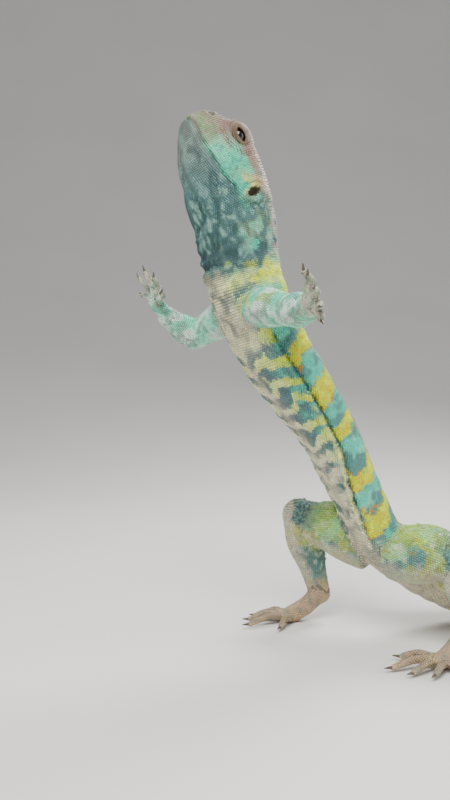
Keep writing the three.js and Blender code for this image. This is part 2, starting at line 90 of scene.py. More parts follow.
STATIONS = np.array([
    [*(in_head(HEAD_LENGTH, -1.0) - PELVIS), 15.0, 13.5, 14.5, 2.1],
    [*(in_head(51.0, -3.6) - PELVIS), 13.8, 11.8, 13.0, 2.0],
    [-53.5, 0.0, 92.0, 18.0, 11.5, 13.0, 2.2],
    [-43.8, 0.0, 72.0, 20.0, 10.8, 12.2, 2.3],
    [-31.8, 0.0, 55.0, 18.6, 9.8, 10.8, 2.3],
    [-20.0, 0.0, 37.5, 15.6, 8.8, 9.0, 2.3],
    [-10.0, 0.0, 18.5, 13.6, 8.2, 8.0, 2.2],
    [0.0, 0.0, 0.0, 13.6, 9.0, 9.0, 2.1],
    [16.0, 0.0, -10.5, 12.8, 9.4, 9.6, 2.1],
    [33.0, 1.0, -19.5, 12.4, 9.0, 9.4, 2.2],
    [53.0, 3.0, -27.8, 11.8, 8.4, 9.4, 2.3],
    [76.0, 6.0, -29.1, 10.6, 7.4, 8.1, 2.4],
    [100.0, 7.0, -30.7, 8.6, 5.8, 6.5, 2.4],
    [125.0, 3.0, -32.5, 5.8, 4.2, 4.7, 2.3],
    [146.0, -6.0, -35.0, 1.9, 1.7, 2.2, 2.0],
])
LAST_STATION = len(STATIONS) - 1
TAIL_START = 7.9


def unit(v):
    """Each vector over its own length."""
    return v / np.maximum(np.linalg.norm(v, axis=-1, keepdims=True), 1e-9)


def smooth_line(points, place):
    """Points on a smooth curve through the given ones: a cubic between each pair, whose slopes weigh the
    neighbouring steps by the square roots of their lengths. A place of 2.5 is half way from point 2 to 3."""
    p = np.vstack([2 * points[:1] - points[1:2], points, 2 * points[-1:] - points[-2:-1]])
    i = np.clip(np.floor(place).astype(int), 0, len(points) - 2)
    t = (place - i)[:, None]
    a, b, c, d = (p[i + n] for n in range(4))
    step = [np.sqrt(np.linalg.norm(q - r, axis=1))[:, None] for q, r in ((b, a), (c, b), (d, c))]
    leave = ((b - a) / step[0] - (c - a) / (step[0] + step[1]) + (c - b) / step[1]) * step[1]
    arrive = ((c - b) / step[1] - (d - b) / (step[1] + step[2]) + (d - c) / step[2]) * step[1]
    held = b * (2 * t**3 - 3 * t**2 + 1) + leave * (t**3 - 2 * t**2 + t)
    return held + c * (3 * t**2 - 2 * t**3) + arrive * (t**3 - t**2)


def smooth_values(values, place):
    """Values between equally spaced ones, on a cubic through the four nearest."""
    v = np.asarray(values, float)
    i = np.clip(np.floor(place).astype(int), 0, len(v) - 2)
    t = place - i
    a, b, c, d = (v[np.clip(i + n, 0, len(v) - 1)] for n in (-1, 0, 1, 2))
    return b + 0.5 * t * (c - a + t * (2 * a - 5 * b + 4 * c - d + t * (3 * (b - c) + d - a)))


def run_along(points):
    """The length of a line of points from its start to each of them."""
    return np.r_[0, np.cumsum(np.linalg.norm(np.diff(points, axis=0), axis=1))]


def ease(x, low, high):
    """0 below low and 1 above high, with a smooth slope between."""
    t = np.clip((x - low) / (high - low), 0.0, 1.0)
    return t * t * (3 - 2 * t)


def near(x, centre, spread):
    """1 at the centre, falling off as a bell."""
    return np.exp(-(((x - centre) / spread) ** 2))


def body_frame(place):
    """Centre, direction to the tail, direction to the left flank and direction to the back, at each place."""
    at = PELVIS + smooth_line(STATIONS[:, :3], place)
    step = 1e-3
    ahead = smooth_line(STATIONS[:, :3], np.minimum(place + step, LAST_STATION))
    behind = smooth_line(STATIONS[:, :3], np.maximum(place - step, 0.0))
    along = unit(ahead - behind)
    left = unit(np.cross(along, np.stack([-along[:, 2], np.zeros(len(place)), along[:, 0]], 1)))
    return at, along, left, np.cross(left, along)


# Skin. One skin of small granular scales goes over the whole animal, flesh and bone, with folds at the
# throat, neck, armpits and flanks. It is lofted along the body and the limbs, fused into one closed
# surface, smoothed, and then the finer forms are raised and sunk on it.
SKIN_GRAIN = 0.5  # the fused surface's own step
SIDES = 96
UNDER_SCALES = 0.3  # how far the skin lies inside the animal's outline, which its scales reach

# Profile of the head: distance from the nose, crown and throat from the nose's level, and half width.
HEAD_ROWS = np.array([
    [0.5, 4.6, -3.4, 4.6],
    [2.2, 7.2, -5.4, 7.0],
    [5.0, 9.8, -7.4, 9.0],
    [9.0, 12.6, -9.4, 11.0],
    [13.0, 15.0, -11.0, 12.6],
    [18.0, 16.0, -12.4, 13.8],
    [24.0, 15.6, -13.8, 15.2],
    [30.0, 14.4, -14.8, 16.4],
    [34.0, 13.4, -15.2, 16.2],
    [38.0, 12.5, -15.5, 15.0],
])


def head_profile(along):
    """Crown, throat and half width of the head, on straight lines between the rows of its profile."""
    return [np.interp(along, HEAD_ROWS[:, 0], HEAD_ROWS[:, n]) for n in (1, 2, 3)]


def powered(value, power):
    """The value's size raised to a power, with its sign kept."""
    return np.sign(value) * np.abs(value) ** power


def walls(rings, around):
    """Four-sided faces between each ring of points and the next, as rows of point numbers."""
    ring, i = np.meshgrid(np.arange(rings - 1), np.arange(around), indexing="ij")
    a, b = ring * around + i, ring * around + (i + 1) % around
    return np.stack([a, b, b + around, a + around], -1).reshape(-1, 4)


def loft(rings, first, last):
    """A closed surface through rings of equally many points, with a point at each end: (points, quads)."""
    count, around = rings.shape[:2]
    points = np.vstack([first[None], rings.reshape(-1, 3), last[None]])
    i = np.arange(around)
    j = (i + 1) % around
    back = 1 + (count - 1) * around
    start = np.stack([0 * i, 1 + i, 1 + j, 1 + j], 1)
    end = np.stack([0 * i + len(points) - 1, back + j, back + i, back + i], 1)
    return points, np.vstack([start, 1 + walls(count, around)[:, [0, 3, 2, 1]], end])


def body_rings(place, turns, grow=0.0):
    """Rings of the trunk and tail: half an oval above the line and half an oval below, both squared a
    little."""
    at, _, left, up = body_frame(place)
    half, above, below, square = (smooth_values(STATIONS[:, 3 + n], place)[:, None] for n in range(4))
    side, rise = np.cos(turns)[None], np.sin(turns)[None]
    across = (half + grow) * powered(side, 2 / square)
    high = (np.where(rise > 0, above, below) + grow) * powered(rise, 2 / square)
    return at[:, None] + across[..., None] * left[:, None] + high[..., None] * up[:, None]


def mouth_level(along):
    """Height of the mouth line above the nose's level: it dips behind the snout and rises to its corner."""
    return -2.6 - 1.6 * ease(along, 0, 12) + 1.2 * ease(along, 24, 32)


def head_rings(along, turns, grow):
    """Rings of the head: ovals about the widest level, with a brow over the eye and lips beside the mouth."""
    crown, throat, half = (v[:, None] for v in head_profile(along))
    crown, throat, half = crown + grow, throat - grow, half + grow
    middle = (crown + throat) / 2
    side, rise = np.cos(turns)[None], np.sin(turns)[None]
    a = along[:, None]
    square = np.where(rise > 0, 2.5, 2.1)
    across = half * powered(side, 2 / square)
    up = middle + np.where(rise > 0, crown - middle, middle - throat) * powered(rise, 2 / square)
    brow = near(a, 13, 4.5) * near(rise, 0.72, 0.22)
    across = across * (1 + 0.09 * brow - 0.05 * near(a, 9, 3) * near(rise, 0.35, 0.25))
    up = up + 0.9 * brow
    lip = near(up, mouth_level(a), 2.2) * (1 - ease(a, 28, 33))
    return in_head(a + 0 * up, up, across * (1 + 0.035 * lip))


def whorl_places(count=21):
    """Where each whorl of the tail starts, in stations: the whorls grow shorter towards the tip."""
    place = np.linspace(0, LAST_STATION, 3000)
    run = run_along(smooth_line(STATIONS[:, :3], place))
    start = np.interp(TAIL_START, place, run)
    share = 1 - (1 - np.arange(count + 1) / count) ** 1.22
    return np.interp(start + (run[-1] - start) * share, run, place)


WHORLS = whorl_places()


def tube(points, place, radii, flat=1.0, flat_towards=(0.0, 0.0, 1.0), sides=28):
    """A closed round tube along a smooth line, its radius smoothly through the given ones, flattened
    towards one direction."""
    line = smooth_line(np.asarray(points, float), place)
    along = unit(np.gradient(line, axis=0))
    up = unit(np.asarray(flat_towards, float) - along * (along @ np.asarray(flat_towards, float))[:, None])
    across = np.cross(along, up)
    radius = smooth_values(radii, place / place[-1] * (len(radii) - 1))
    turn = np.linspace(0, 2 * np.pi, sides, endpoint=False)
    ring = np.cos(turn)[None, :, None] * across[:, None] * radius[:, None, None]
    ring = ring + np.sin(turn)[None, :, None] * up[:, None] * (radius * flat)[:, None, None]
    return loft(line[:, None] + ring, line[0], line[-1])


def globe(lat, lon, radii):
    """Rings of latitude round a ball's third axis: sine and cosine of each angle, times the radii."""
    wide = np.sin(lat)[:, None]
    high = np.cos(lat)[:, None] * np.ones(len(lon))
    return np.stack([wide * np.cos(lon) * radii[0], wide * np.sin(lon) * radii[1], high * radii[2]], -1)


def ball(centre, radii, axes=np.eye(3), sides=24):
    """A ball or egg: rings of latitude about the third axis, closed by its poles."""
    lat = np.linspace(0, np.pi, sides // 2 + 1)[1:-1]
    local = globe(lat, np.linspace(0, 2 * np.pi, sides, endpoint=False), radii)
    axes = np.asarray(axes, float)
    return loft(centre + local @ axes, centre + radii[2] * axes[2], centre - radii[2] * axes[2])


# How arms and legs are built: radii down the upper and lower length and at the wrist, muscles, the pad's
# flatness, and the digits' radius, directions, lengths, side of the first one, drop and the pad's middle.
# A muscle has the joints it lies between, its share of the way, its step outwards and its radii.
BUILDS = {
    "arm": dict(
        upper=[7.0, 6.7, 5.7, 5.0],
        lower=[5.0, 5.5, 4.3, 3.6],
        muscles=[(0, 1, 0.3, 0.4, [6.9, 6.9, 10.0]), (1, 2, 0.32, 0.4, [5.5, 5.2, 7.0])],
        wrist=3.8, flat=0.5, digit=1.2, turn=1, drop=0.4, middle=(0.5, 0.0),
        spread=[-62, -30, 0, 30, 64], lengths=[7, 10, 11.5, 11, 7.5],
    ),
    "leg": dict(
        upper=[10.4, 10.4, 8.6, 6.5],
        lower=[6.5, 7.7, 5.4, 4.3],
        muscles=[(0, 1, 0.45, 1.0, [10.6, 8.8, 15.0]), (1, 2, 0.3, -1.0, [7.9, 7.0, 10.5])],
        wrist=4.6, flat=0.62, digit=1.42, turn=-1, drop=1.1, middle=(0.45, -1.4),
        spread=[-38, -16, 2, 20, 58], lengths=[8.5, 12.5, 16, 18.5, 12],
    ),
}
SOLE = 2.7 - PELVIS[2]

# Each limb's side, how far its digits open, the way its palm or sole faces away from, and its joints from
# the pelvis.
LIMBS = {
    name: dict(
        side=side,
        opened=opened,
        palm_up=unit(np.array(palm_up)),
        joints=PELVIS + np.array(joints, float),
        build=BUILDS[name[:3]],
    )
    for name, side, opened, palm_up, *joints in (
        (
            "arm_left", 1, 0.62, (0.9, -0.3, 0.3),
            (-56, -10, 87), (-53.1, -35.7, 82.5), (-55.6, -53.2, 81.4), (-58.3, -60.4, 82.6),
        ),
        (
            "arm_right", -1, 1.0, (0.9, 0.1, 0.35),
            (-56, 10, 87), (-65, 30, 79), (-77, 27, 86), (-82, 26, 91),
        ),
        (
            "leg_left", 1, 1.0, (0.0, 0.0, 1.0),
            (1, -7, -3), (17, -32, -3), (15, -34.5, -26), (3, -38.5, SOLE),
        ),
        (
            "leg_right", -1, 1.0, (0.0, 0.0, 1.0),
            (1, 7, -3), (-20, 31, 7), (-11, 30, -25.5), (-23.5, 32.5, SOLE),
        ),
    )
}


def turned(v, axis, degrees):
    """A vector turned about a unit axis, by Rodrigues' formula."""
    a = np.radians(degrees)
    return v * np.cos(a) + np.cross(axis, v) * np.sin(a) + axis * (axis @ v) * (1 - np.cos(a))


def digits_of(limb):
    """The middle of a hand's or foot's pad, the way it points, and its five digits: the root, knuckle and
    tip of each, the way it points, the way its back faces, and its radius."""
    joints, palm_up, build = limb["joints"], limb["palm_up"], limb["build"]
    radius = build["digit"]
    middle = joints[2] + (joints[3] - joints[2]) * build["middle"][0] + [0, 0, build["middle"][1]]
    forward = joints[3] - middle
    forward = unit(forward - palm_up * (forward @ palm_up))
    turn = limb["side"] * build["turn"]
    across = np.cross(forward, palm_up) * -turn
    found = []
    for i, (degrees, length) in enumerate(zip(build["spread"], build["lengths"])):
        towards = turned(forward, palm_up, degrees * turn * limb["opened"])
        root = joints[3] + across * (i - 2) * radius * 1.05 + towards * radius
        tip = root + towards * length - palm_up * build["drop"]
        knuckle = (root + tip) / 2 + palm_up * radius * 0.9
        found.append(dict(root=root, knuckle=knuckle, tip=tip, towards=towards, up=palm_up, radius=radius))
    return middle, forward, found


def limb_shapes(limb):
    """One limb's closed shapes: two swelling lengths with their muscles, its joints, the pad of the hand or
    foot and its digits."""
    joints, build = limb["joints"], limb["build"]
    middle, forward, digits = digits_of(limb)
    step = np.linspace(0, 1, 24)
    shapes = [
        tube(joints[0:2], step, build["upper"]),
        tube(joints[1:3], step, build["lower"]),
        ball(joints[1], [build["upper"][-1] * 1.02] * 3),
        ball(joints[2], [build["wrist"]] * 3),
    ]
    # Muscles bulge on the outer side of each bend, as eggs along the bone.
    bones = unit(joints[1:] - joints[:-1])
    outer = unit(bones[0] - bones[1])
    for a, b, share, step_out, radii in build["muscles"]:
        along = unit(joints[b] - joints[a])
        out = unit(outer - along * (outer @ along))
        centre = joints[a] + (joints[b] - joints[a]) * share + out * step_out
        shapes.append(ball(centre, radii, [out, np.cross(along, out), along]))
    width = build["digit"] * 3.1
    pad_line = [joints[2], middle, joints[3], joints[3] + forward * build["digit"] * 1.6]
    pad_radii = [build["wrist"], (build["wrist"] + width) / 2, width, width * 0.72]
    shapes.append(tube(pad_line, np.linspace(0, 3, 30), pad_radii, build["flat"] + 0.1, limb["palm_up"]))
    for d in digits:
        line = [d["root"] - d["towards"] * 2.5, d["root"], d["knuckle"], d["tip"]]
        radii = d["radius"] * np.array([1.12, 1.1, 1.02, 1.08, 0.96, 1.0, 0.88, 0.84, 0.6])
        shapes.append(tube(line, np.linspace(0, 3, 40), radii, flat_towards=d["up"], sides=16))
    return shapes


def skin_shapes():
    """All the closed shapes that are fused into the skin. Each whorl of the tail stands out a little more
    towards its back edge, and the head's rings run on into the neck's first ones, so that the nape has no
    step."""
    turns = np.linspace(0, 2 * np.pi, SIDES, endpoint=False)
    place = np.unique(np.r_[np.linspace(0.0, TAIL_START, 200), np.linspace(TAIL_START, LAST_STATION, 330)])
    whorl = np.interp(place, WHORLS, np.arange(len(WHORLS))) % 1.0
    step = np.where(place > TAIL_START, 0.55 * ease(whorl, 0.1, 0.8) * (1 - ease(whorl, 0.86, 1.0)), 0)
    step = step * smooth_values(STATIONS[:, 3], place) / 12
    rings = body_rings(place, turns, grow=step[:, None] - UNDER_SCALES)
    tail_point = rings[-1].mean(0) + body_frame(place[-1:])[1][0] * 2.6
    shapes = [loft(rings, PELVIS + STATIONS[0, :3], tail_point)]
    head = head_rings(np.linspace(0.5, HEAD_LENGTH - 3.5, 90), turns, -UNDER_SCALES)
    rings = np.vstack([head, body_rings(np.array([0.0, 0.2, 0.4]), turns, -UNDER_SCALES)])
    shapes.append(loft(rings, in_head(-0.3, 0.6), rings[-1].mean(0)))
    for limb in LIMBS.values():
        shapes += limb_shapes(limb)
    return shapes


def move_points(mesh, points):
    """Puts a mesh's points at places in millimetres."""
    mesh.vertices.foreach_set("co", (np.asarray(points) * MM).astype(np.float32).ravel())
    mesh.update()


def mesh_from(name, points, faces, smooth=True):
    """A mesh from millimetre points and rows of four corners; a repeated last corner makes a triangle."""
    mesh = bpy.data.meshes.new(name)
    keep = np.ones(faces.shape, bool)
    keep[:, 3] = faces[:, 2] != faces[:, 3]
    corners, sizes = faces[keep], keep.sum(1)
    mesh.vertices.add(len(points))
    move_points(mesh, points)
    mesh.loops.add(len(corners))
    mesh.loops.foreach_set("vertex_index", corners.astype(np.int32))
    mesh.polygons.add(len(faces))
    mesh.polygons.foreach_set("loop_start", np.r_[0, np.cumsum(sizes)[:-1]].astype(np.int32))
    mesh.update(calc_edges=True)
    mesh.polygons.foreach_set("use_smooth", np.full(len(faces), smooth))
    mesh.validate()
    return mesh


def gather(shapes):
    """Several (points, faces) shapes as one."""
    offset = np.r_[0, np.cumsum([len(p) for p, _ in shapes])[:-1]]
    return np.vstack([p for p, _ in shapes]), np.vstack([f + o for (_, f), o in zip(shapes, offset)])


def with_modifiers(mesh, *settings):
    """The mesh after modifiers, each given as its kind and its values, with none left on it."""
    obj = put(mesh.name, mesh)
    for kind, values in settings:
        modifier = obj.modifiers.new(kind.lower(), kind)
        for key, value in values.items():
            setattr(modifier, key, value)
    done = bpy.data.meshes.new_from_object(obj.evaluated_get(bpy.context.evaluated_depsgraph_get()))
    bpy.data.objects.remove(obj)
    return done


def read(items, key, wide=1, kind=np.float32):
    """One value of each of a mesh's items as an array, with a row for each where the value is wide."""
    values = np.empty(len(items) * wide, kind)
    items.foreach_get(key, values)
    return values.reshape(-1, wide) if wide > 1 else values


def points_of(mesh):
    """A mesh's points in millimetres."""
    return read(mesh.vertices, "co", 3).astype(float) / MM


def normals_of(mesh):
    """The outward direction at each of a mesh's points."""
    return read(mesh.vertex_normals, "vector", 3).astype(float)


# Places on the body. Each point of the skin knows the line it lies round, how far along it lies and on
# which side, and the folds, markings and scales are all set out by those. A sample is a row with its part
# and the distance along it, its centre, its directions to the tail, left and up, and its half width and
# depths: part 0 is the body, 1 to 4 the limbs, and a tenth more for each digit.
AT, AHEAD, LEFT, UP = (slice(n, n + 3) for n in (2, 5, 8, 11))
HALF, ABOVE, BELOW = 14, 15, 16


def sample_rows(count, *columns):
    """Columns side by side, where one number or direction may stand for all the rows."""
    columns = [np.asarray(c, float) for c in columns]
    columns = [c[:, None] if c.shape == (count,) else np.atleast_1d(c) for c in columns]
    return np.hstack([np.broadcast_to(c, (count, c.shape[-1])) for c in columns])


def straight_rows(part, start, a, b, share, up, radius):
    """Samples down one straight length, at shares of the way from a to b."""
    along = (b - a) / np.linalg.norm(b - a)
    run = start + np.linalg.norm(b - a) * share
    at = a + (b - a) * share[:, None]
    return sample_rows(len(share), part, run, at, along, np.cross(along, up), up, radius, radius, radius)


def place_samples():
    """Samples down the middle of the head, body, limbs and digits."""
    along = np.linspace(0.5, HEAD_LENGTH, 60, endpoint=False)
    crown, throat, half = head_profile(along)
    middle, depth = in_head(along, (crown + throat) / 2), (crown - throat) / 2
    rows = [sample_rows(len(along), 0, along, middle, HEAD_BACK, HEAD_LEFT, HEAD_UP, half, depth, depth)]
    place = np.linspace(0, LAST_STATION, 700)
    at, tail_ward, left, up = body_frame(place)
    sizes = [smooth_values(STATIONS[:, n], place) for n in (3, 4, 5)]
    rows.append(sample_rows(len(place), 0, HEAD_LENGTH + run_along(at), at, tail_ward, left, up, *sizes))
    for part, (name, limb) in enumerate(LIMBS.items(), start=1):
        joints, build = limb["joints"], limb["build"]
        outwards = [0.35, 0.0, 1.0] if name.startswith("leg") else [0.0, -limb["side"], 0.0]
        radii = [build["upper"], build["lower"], [build["wrist"], build["digit"] * 3.1]]
        start = 0.0
        for span, reference in enumerate((outwards, outwards, limb["palm_up"])):
            a, b = joints[span], joints[span + 1]
            share = np.linspace(0.25 if span == 0 else 0.0, 1.0, 40)
            along = unit(b - a)
            up = unit(reference - along * (along @ reference))
            radius = smooth_values(radii[span], share * (len(radii[span]) - 1))
            rows.append(straight_rows(part, start, a, b, share, up, radius))
            start += np.linalg.norm(b - a)
        share = np.linspace(0, 1, 24)
        for number, d in enumerate(digits_of(limb)[2], start=1):
            digit = part + 0.1 * number
            rows.append(straight_rows(digit, start, d["root"], d["tip"], share, d["up"], d["radius"] * 0.9))
    return np.vstack(rows)


SAMPLES = place_samples()

# The length round a quarter of an oval, from its side up to each angle, for each ratio of depth to half
# width, so that scales can be set out evenly round the body.
RATIO_STEP = 0.02
OVAL_RATIOS = np.linspace(0.2, 1.6, 71)
OVAL_ANGLES = np.linspace(0, np.pi / 2, 91)
OVAL_STEPS = np.hypot(np.sin(OVAL_ANGLES)[None], OVAL_RATIOS[:, None] * np.cos(OVAL_ANGLES)[None])
OVAL_STEPS = (OVAL_STEPS[:, 1:] + OVAL_STEPS[:, :-1]) / 2 * OVAL_ANGLES[1]
OVAL_LENGTHS = np.cumsum(np.hstack([np.zeros((len(OVAL_RATIOS), 1)), OVAL_STEPS]), axis=1)


def oval_length(ratio, angle):
    """The length from an oval's side to an angle, for a half width of 1, read from the table."""
    x = np.clip((ratio - OVAL_RATIOS[0]) / RATIO_STEP, 0, len(OVAL_RATIOS) - 1.001)
    y = np.clip(angle / OVAL_ANGLES[1], 0, len(OVAL_ANGLES) - 1.001)
    i, j = x.astype(int), y.astype(int)
    fx, fy = x - i, y - j
    low = OVAL_LENGTHS[i, j] * (1 - fx) + OVAL_LENGTHS[i + 1, j] * fx
    high = OVAL_LENGTHS[i, j + 1] * (1 - fx) + OVAL_LENGTHS[i + 1, j + 1] * fx
    return low * (1 - fy) + high * fy


def steps_from(samples, points):
    """Each point's step from its sample: as a vector, upwards and to the left."""
    away = points - samples[:, AT]
    return away, (away * samples[:, UP]).sum(1), (away * samples[:, LEFT]).sum(1)


def places_on_body(points):
    """For each point: its part, the distance along it, the turn about it (0 at the flank, a quarter turn at
    the back, minus that at the belly), the side, half the girth there, the share of that which lies below
    the point, how strongly it belongs to a limb, and the line's own direction. The nearest sample is the
    one whose oval the point lies closest to."""
    found = []
    is_body = SAMPLES[:, 0] < 0.5
    reach = SAMPLES[:, HALF : BELOW + 1].mean(1)
    batch = 8000
    for start in range(0, len(points), batch):
        p = points[start : start + batch]
        gap = (p**2).sum(1)[:, None] + (SAMPLES[:, AT] ** 2).sum(1) - 2 * p @ SAMPLES[:, AT].T
        # Distances are taken in widths, so that a thick trunk and a thin limb have fair shares.
        ratio = np.sqrt(np.maximum(gap, 0)) / reach
        best_body = np.where(is_body, ratio, 1e9).argmin(1)
        best_limb = np.where(is_body, 1e9, ratio).argmin(1)
        limb_ratio = ratio[np.arange(len(p)), best_limb]
        body = SAMPLES[best_body]
        _, high, wide = steps_from(body, p)
        oval = np.hypot(wide / body[:, HALF], high / np.where(high > 0, body[:, ABOVE], body[:, BELOW]))
        s = SAMPLES[np.where(limb_ratio < oval, best_limb, best_body)]
        half = s[:, HALF]
        away, high, wide = steps_from(s, p)
        turn = np.arctan2(high / np.where(high > 0, s[:, ABOVE], s[:, BELOW]), np.abs(wide) / half)
        above, below = (oval_length(s[:, n] / half, np.full(len(p), np.pi / 2)) for n in (ABOVE, BELOW))
        here = oval_length(np.where(turn > 0, s[:, ABOVE], s[:, BELOW]) / half, np.abs(turn))
        found.append(
            dict(
                part=s[:, 0],
                along=s[:, 1] + (away * s[:, AHEAD]).sum(1),
                turn=turn,
                side=np.where(wide < 0, -1.0, 1.0),
                girth=(above + below) * half,
                share=np.where(turn > 0, below + here, below - here) / (above + below),
                limb=ease(oval - limb_ratio, -0.25, 0.25),
                size=half,
                tail_ward=s[:, AHEAD],
            )
        )
    return {key: np.concatenate([f[key] for f in found]) for key in found[0]}


def kind_of(where):
    """The part without its digit: 0 the body, 1 and 2 the left and right arm, 3 and 4 the legs."""
    return np.floor(where["part"] + 1e-6)


def lattice(points, seed):
    """A number from 0 to 1 for each whole-numbered corner of space, the same each time: the fraction of a
    large sine."""
    mixed = points @ np.array([127.1, 311.7, 74.7]) + seed * 17.13
    mixed = np.sin(mixed) * 43758.5453
    return mixed - np.floor(mixed)


def clouds(points, size, seed=0):
    """Smooth noise from 0 to 1: random numbers on a grid of the given size, eased between its corners."""
    q = points / size
    base = np.floor(q)
    t = q - base
    t = t * t * (3 - 2 * t)
    total = 0.0
    for corner in np.ndindex(2, 2, 2):
        c = np.array(corner)
        total = total + np.prod(np.where(c, t, 1 - t), axis=-1) * lattice(base + c, seed)
    return total


FOLD_TURN = -0.4  # where the fold along each flank lies

# Marks on the head: distance back from the nose, height, half length and half height of each.
EYE_PLACE = (14.2, 8.8, 9.1)  # back from the nose, up and out
EYE_RADIUS = 3.5
EYE_MARK = (*EYE_PLACE[:2], 6.4, 5.2)
EAR_MARK = (33.6, 3.6, 1.9, 3.2)
NOSTRIL_MARK = (2.9, 4.4, 1.25, 1.0)


def fold_at(where):
    """How far above or below the flank's fold each point lies, as a turn: the fold wanders a little and
    sinks towards the hip."""
    wander = 0.04 * np.sin(where["along"] / 9)
    return where["turn"] - FOLD_TURN + wander + 0.5 * ease(where["along"], 124, 155)


def throat_lines(s, turn, side, gather_here):
    """Lengthwise waves round the throat, from -1 in a crease to 1 on a ridge, bent by a sine and by noise."""
    return np.sin(9.5 * turn * side + 2.2 * np.sin(s / 6) + 5 * (gather_here - 0.5))


def head_marks(points):
    """How far points lie back, up and out from the nose, and their distances from the middle of the eye, the
    ear and the nostril, where 1 is about its rim."""
    a, u = (points - NOSE) @ HEAD_BACK, (points - NOSE) @ HEAD_UP
    marks = (EYE_MARK, EAR_MARK, NOSTRIL_MARK)
    eye, ear, nostril = (np.hypot((a - x) / wide, (u - y) / high) for x, y, wide, high in marks)
    return a, u, np.abs(points[:, 1] - NOSE[1]), eye, ear, nostril


def forms(points, where):
    """How far each point of the skin is raised, in millimetres: folds along the flanks and round the neck,
    the eye's rim and socket, nostrils, lips, the mouth line, ear openings and shallow wrinkles."""
    body = where["part"] < 0.5
    s, turn = where["along"], where["turn"]
    # The fold along each flank: a sharp crease with a ridge of slack skin below it and a softer one above.
    flank = ease(s, 68, 86) * (1 - ease(s, 164, 176)) * body
    fold = fold_at(where)
    folded = 0.75 * near(fold, 0.2, 0.17) - 1.0 * near(fold, 0.0, 0.055) + 0.75 * near(fold, -0.13, 0.1)
    rise = flank * folded
    # Skin gathers in rings round the neck, with one deep fold across the base of the throat.
    low = 1 - ease(turn, -0.1, 0.7)
    gather_here = clouds(points, 7, 11)
    rings = np.sin(2 * np.pi * (s + 2.2 * np.cos(turn * 2) + 3 * gather_here) / 5.6)
    rise += 0.3 * rings * ease(s, 42, 48) * (1 - ease(s, 68, 76)) * (0.35 + 0.65 * low) * body
    crease = s - 57 - 1.2 * turn + 2 * (gather_here - 0.5)
    lips = 0.3 * near(crease, -2.4, 2.2) - 0.6 * near(crease, 0, 0.8) + 0.3 * near(crease, 2.4, 1.8)
    rise += low * body * lips
    # The nape is full, and slack skin hangs at the base of the throat.
    rise += 1.7 * body * near(s, 46, 13) * ease(turn, 0.3, 1.0)
    rise += 2.0 * body * near(s, 54, 12) * (1 - ease(turn, -1.35, -0.7))
    # The throat has shallow lengthwise wrinkles.
    lengthwise = throat_lines(s, turn, where["side"], gather_here)
    rise += 0.42 * lengthwise * ease(s, 8, 18) * (1 - ease(s, 46, 56)) * (1 - ease(turn, -0.6, -0.1)) * body
    # Slack skin on the trunk, small cross folds on the belly and behind the shoulders.
    slack = ease(s, 44, 54) * (1 - ease(s, 170, 182)) * body
    rise += slack * (0.55 * (clouds(points, 3.4, 5) - 0.5) + 0.5 * (clouds(points, 7, 15) - 0.5))
    slanted = np.sin(2 * np.pi * (s + 9 * turn + 5 * clouds(points, 8, 16)) / 4.1)
    rise += 0.2 * slanted * slack * near(turn, -0.5, 0.7) * ease(clouds(points, 9, 17), 0.35, 0.6)
    belly = (1 - ease(turn, -0.95, -0.6)) * ease(s, 78, 90) * (1 - ease(s, 160, 172)) * body
    rise += 0.16 * belly * np.sin(2 * np.pi * (s + 2 * clouds(points, 6, 12)) / 4.6)
    behind_arm = near(s, 84, 9) * near(turn, -0.1, 0.7) * body
    rise += 0.3 * behind_arm * np.sin(2 * np.pi * (s + 7 * turn) / 4.4)
    # The eye's rim and socket, the ear opening with its rim, and the nostril.
    a, u, out, eye, ear, nostril = head_marks(points)
    head = body & (s < HEAD_LENGTH + 4)
    side = head & (out > 6)
    rise += side * (0.75 * near(eye, 0.8, 0.3) - 3.6 * (1 - ease(eye, 0.42, 0.62)))
    rise -= 0.5 * side * near(eye, 1.15, 0.16)
    rise -= side * 2.1 * (1 - ease(ear, 0.5, 1.0))
    rise += side * 0.6 * near(np.hypot((a - 33.2) / 3.3, (u - 3.6) / 4.8), 1.0, 0.25)
    rise += head * (out > 2.5) * (0.45 * near(nostril, 1.6, 0.7) - 1.3 * (1 - ease(nostril, 0.3, 0.95)))
    # The mouth line between its lips, the hollow at its corner, the cheek and the ridge of the snout.
    line = u - mouth_level(np.maximum(a, 0))
    mouth = head * (1 - ease(a, 29, 32))
    rise += mouth * (0.38 * near(np.abs(line), 1.3, 0.8) - 0.8 * near(line, 0, 0.42))
    rise -= 0.5 * head * near(np.hypot((a - 31.5) / 2.4, (u - mouth_level(31.5) + 1) / 4), 0, 0.7)
    rise += 0.9 * side * near(np.hypot((a - 27) / 7, (u + 3.5) / 6), 0, 0.8)
    rise += 0.5 * head * near(u - 9.6 - 0.25 * (a - 6), 0, 1.2) * near(a, 7.5, 3.5)
    # The crown is shallowly dished between the brows and a little uneven.
    rise -= 0.5 * head * near(a, 12, 6) * near(out, 0, 3.4) * (u > 8)
    rise += 0.22 * head * (clouds(points, 2.6, 13) - 0.5) * (1 - ease(a, 26, 34))
    return rise


def relaxed(mesh, points, weight, rounds):
    """The points drawn towards the middle of their neighbours, by each one's weight, round after round."""
    edges = read(mesh.edges, "vertices", 2, np.int32)
    a, b = edges.T
    count = np.bincount(edges.ravel(), minlength=len(points))[:, None]
    for _ in range(rounds):
        ahead, behind = (
            [np.bincount(here, points[there, n], len(points)) for n in range(3)]
            for here, there in ((a, b), (b, a))
        )
        total = np.stack(ahead, 1) + np.stack(behind, 1)
        points = points + weight[:, None] * (total / count - points)
    return points


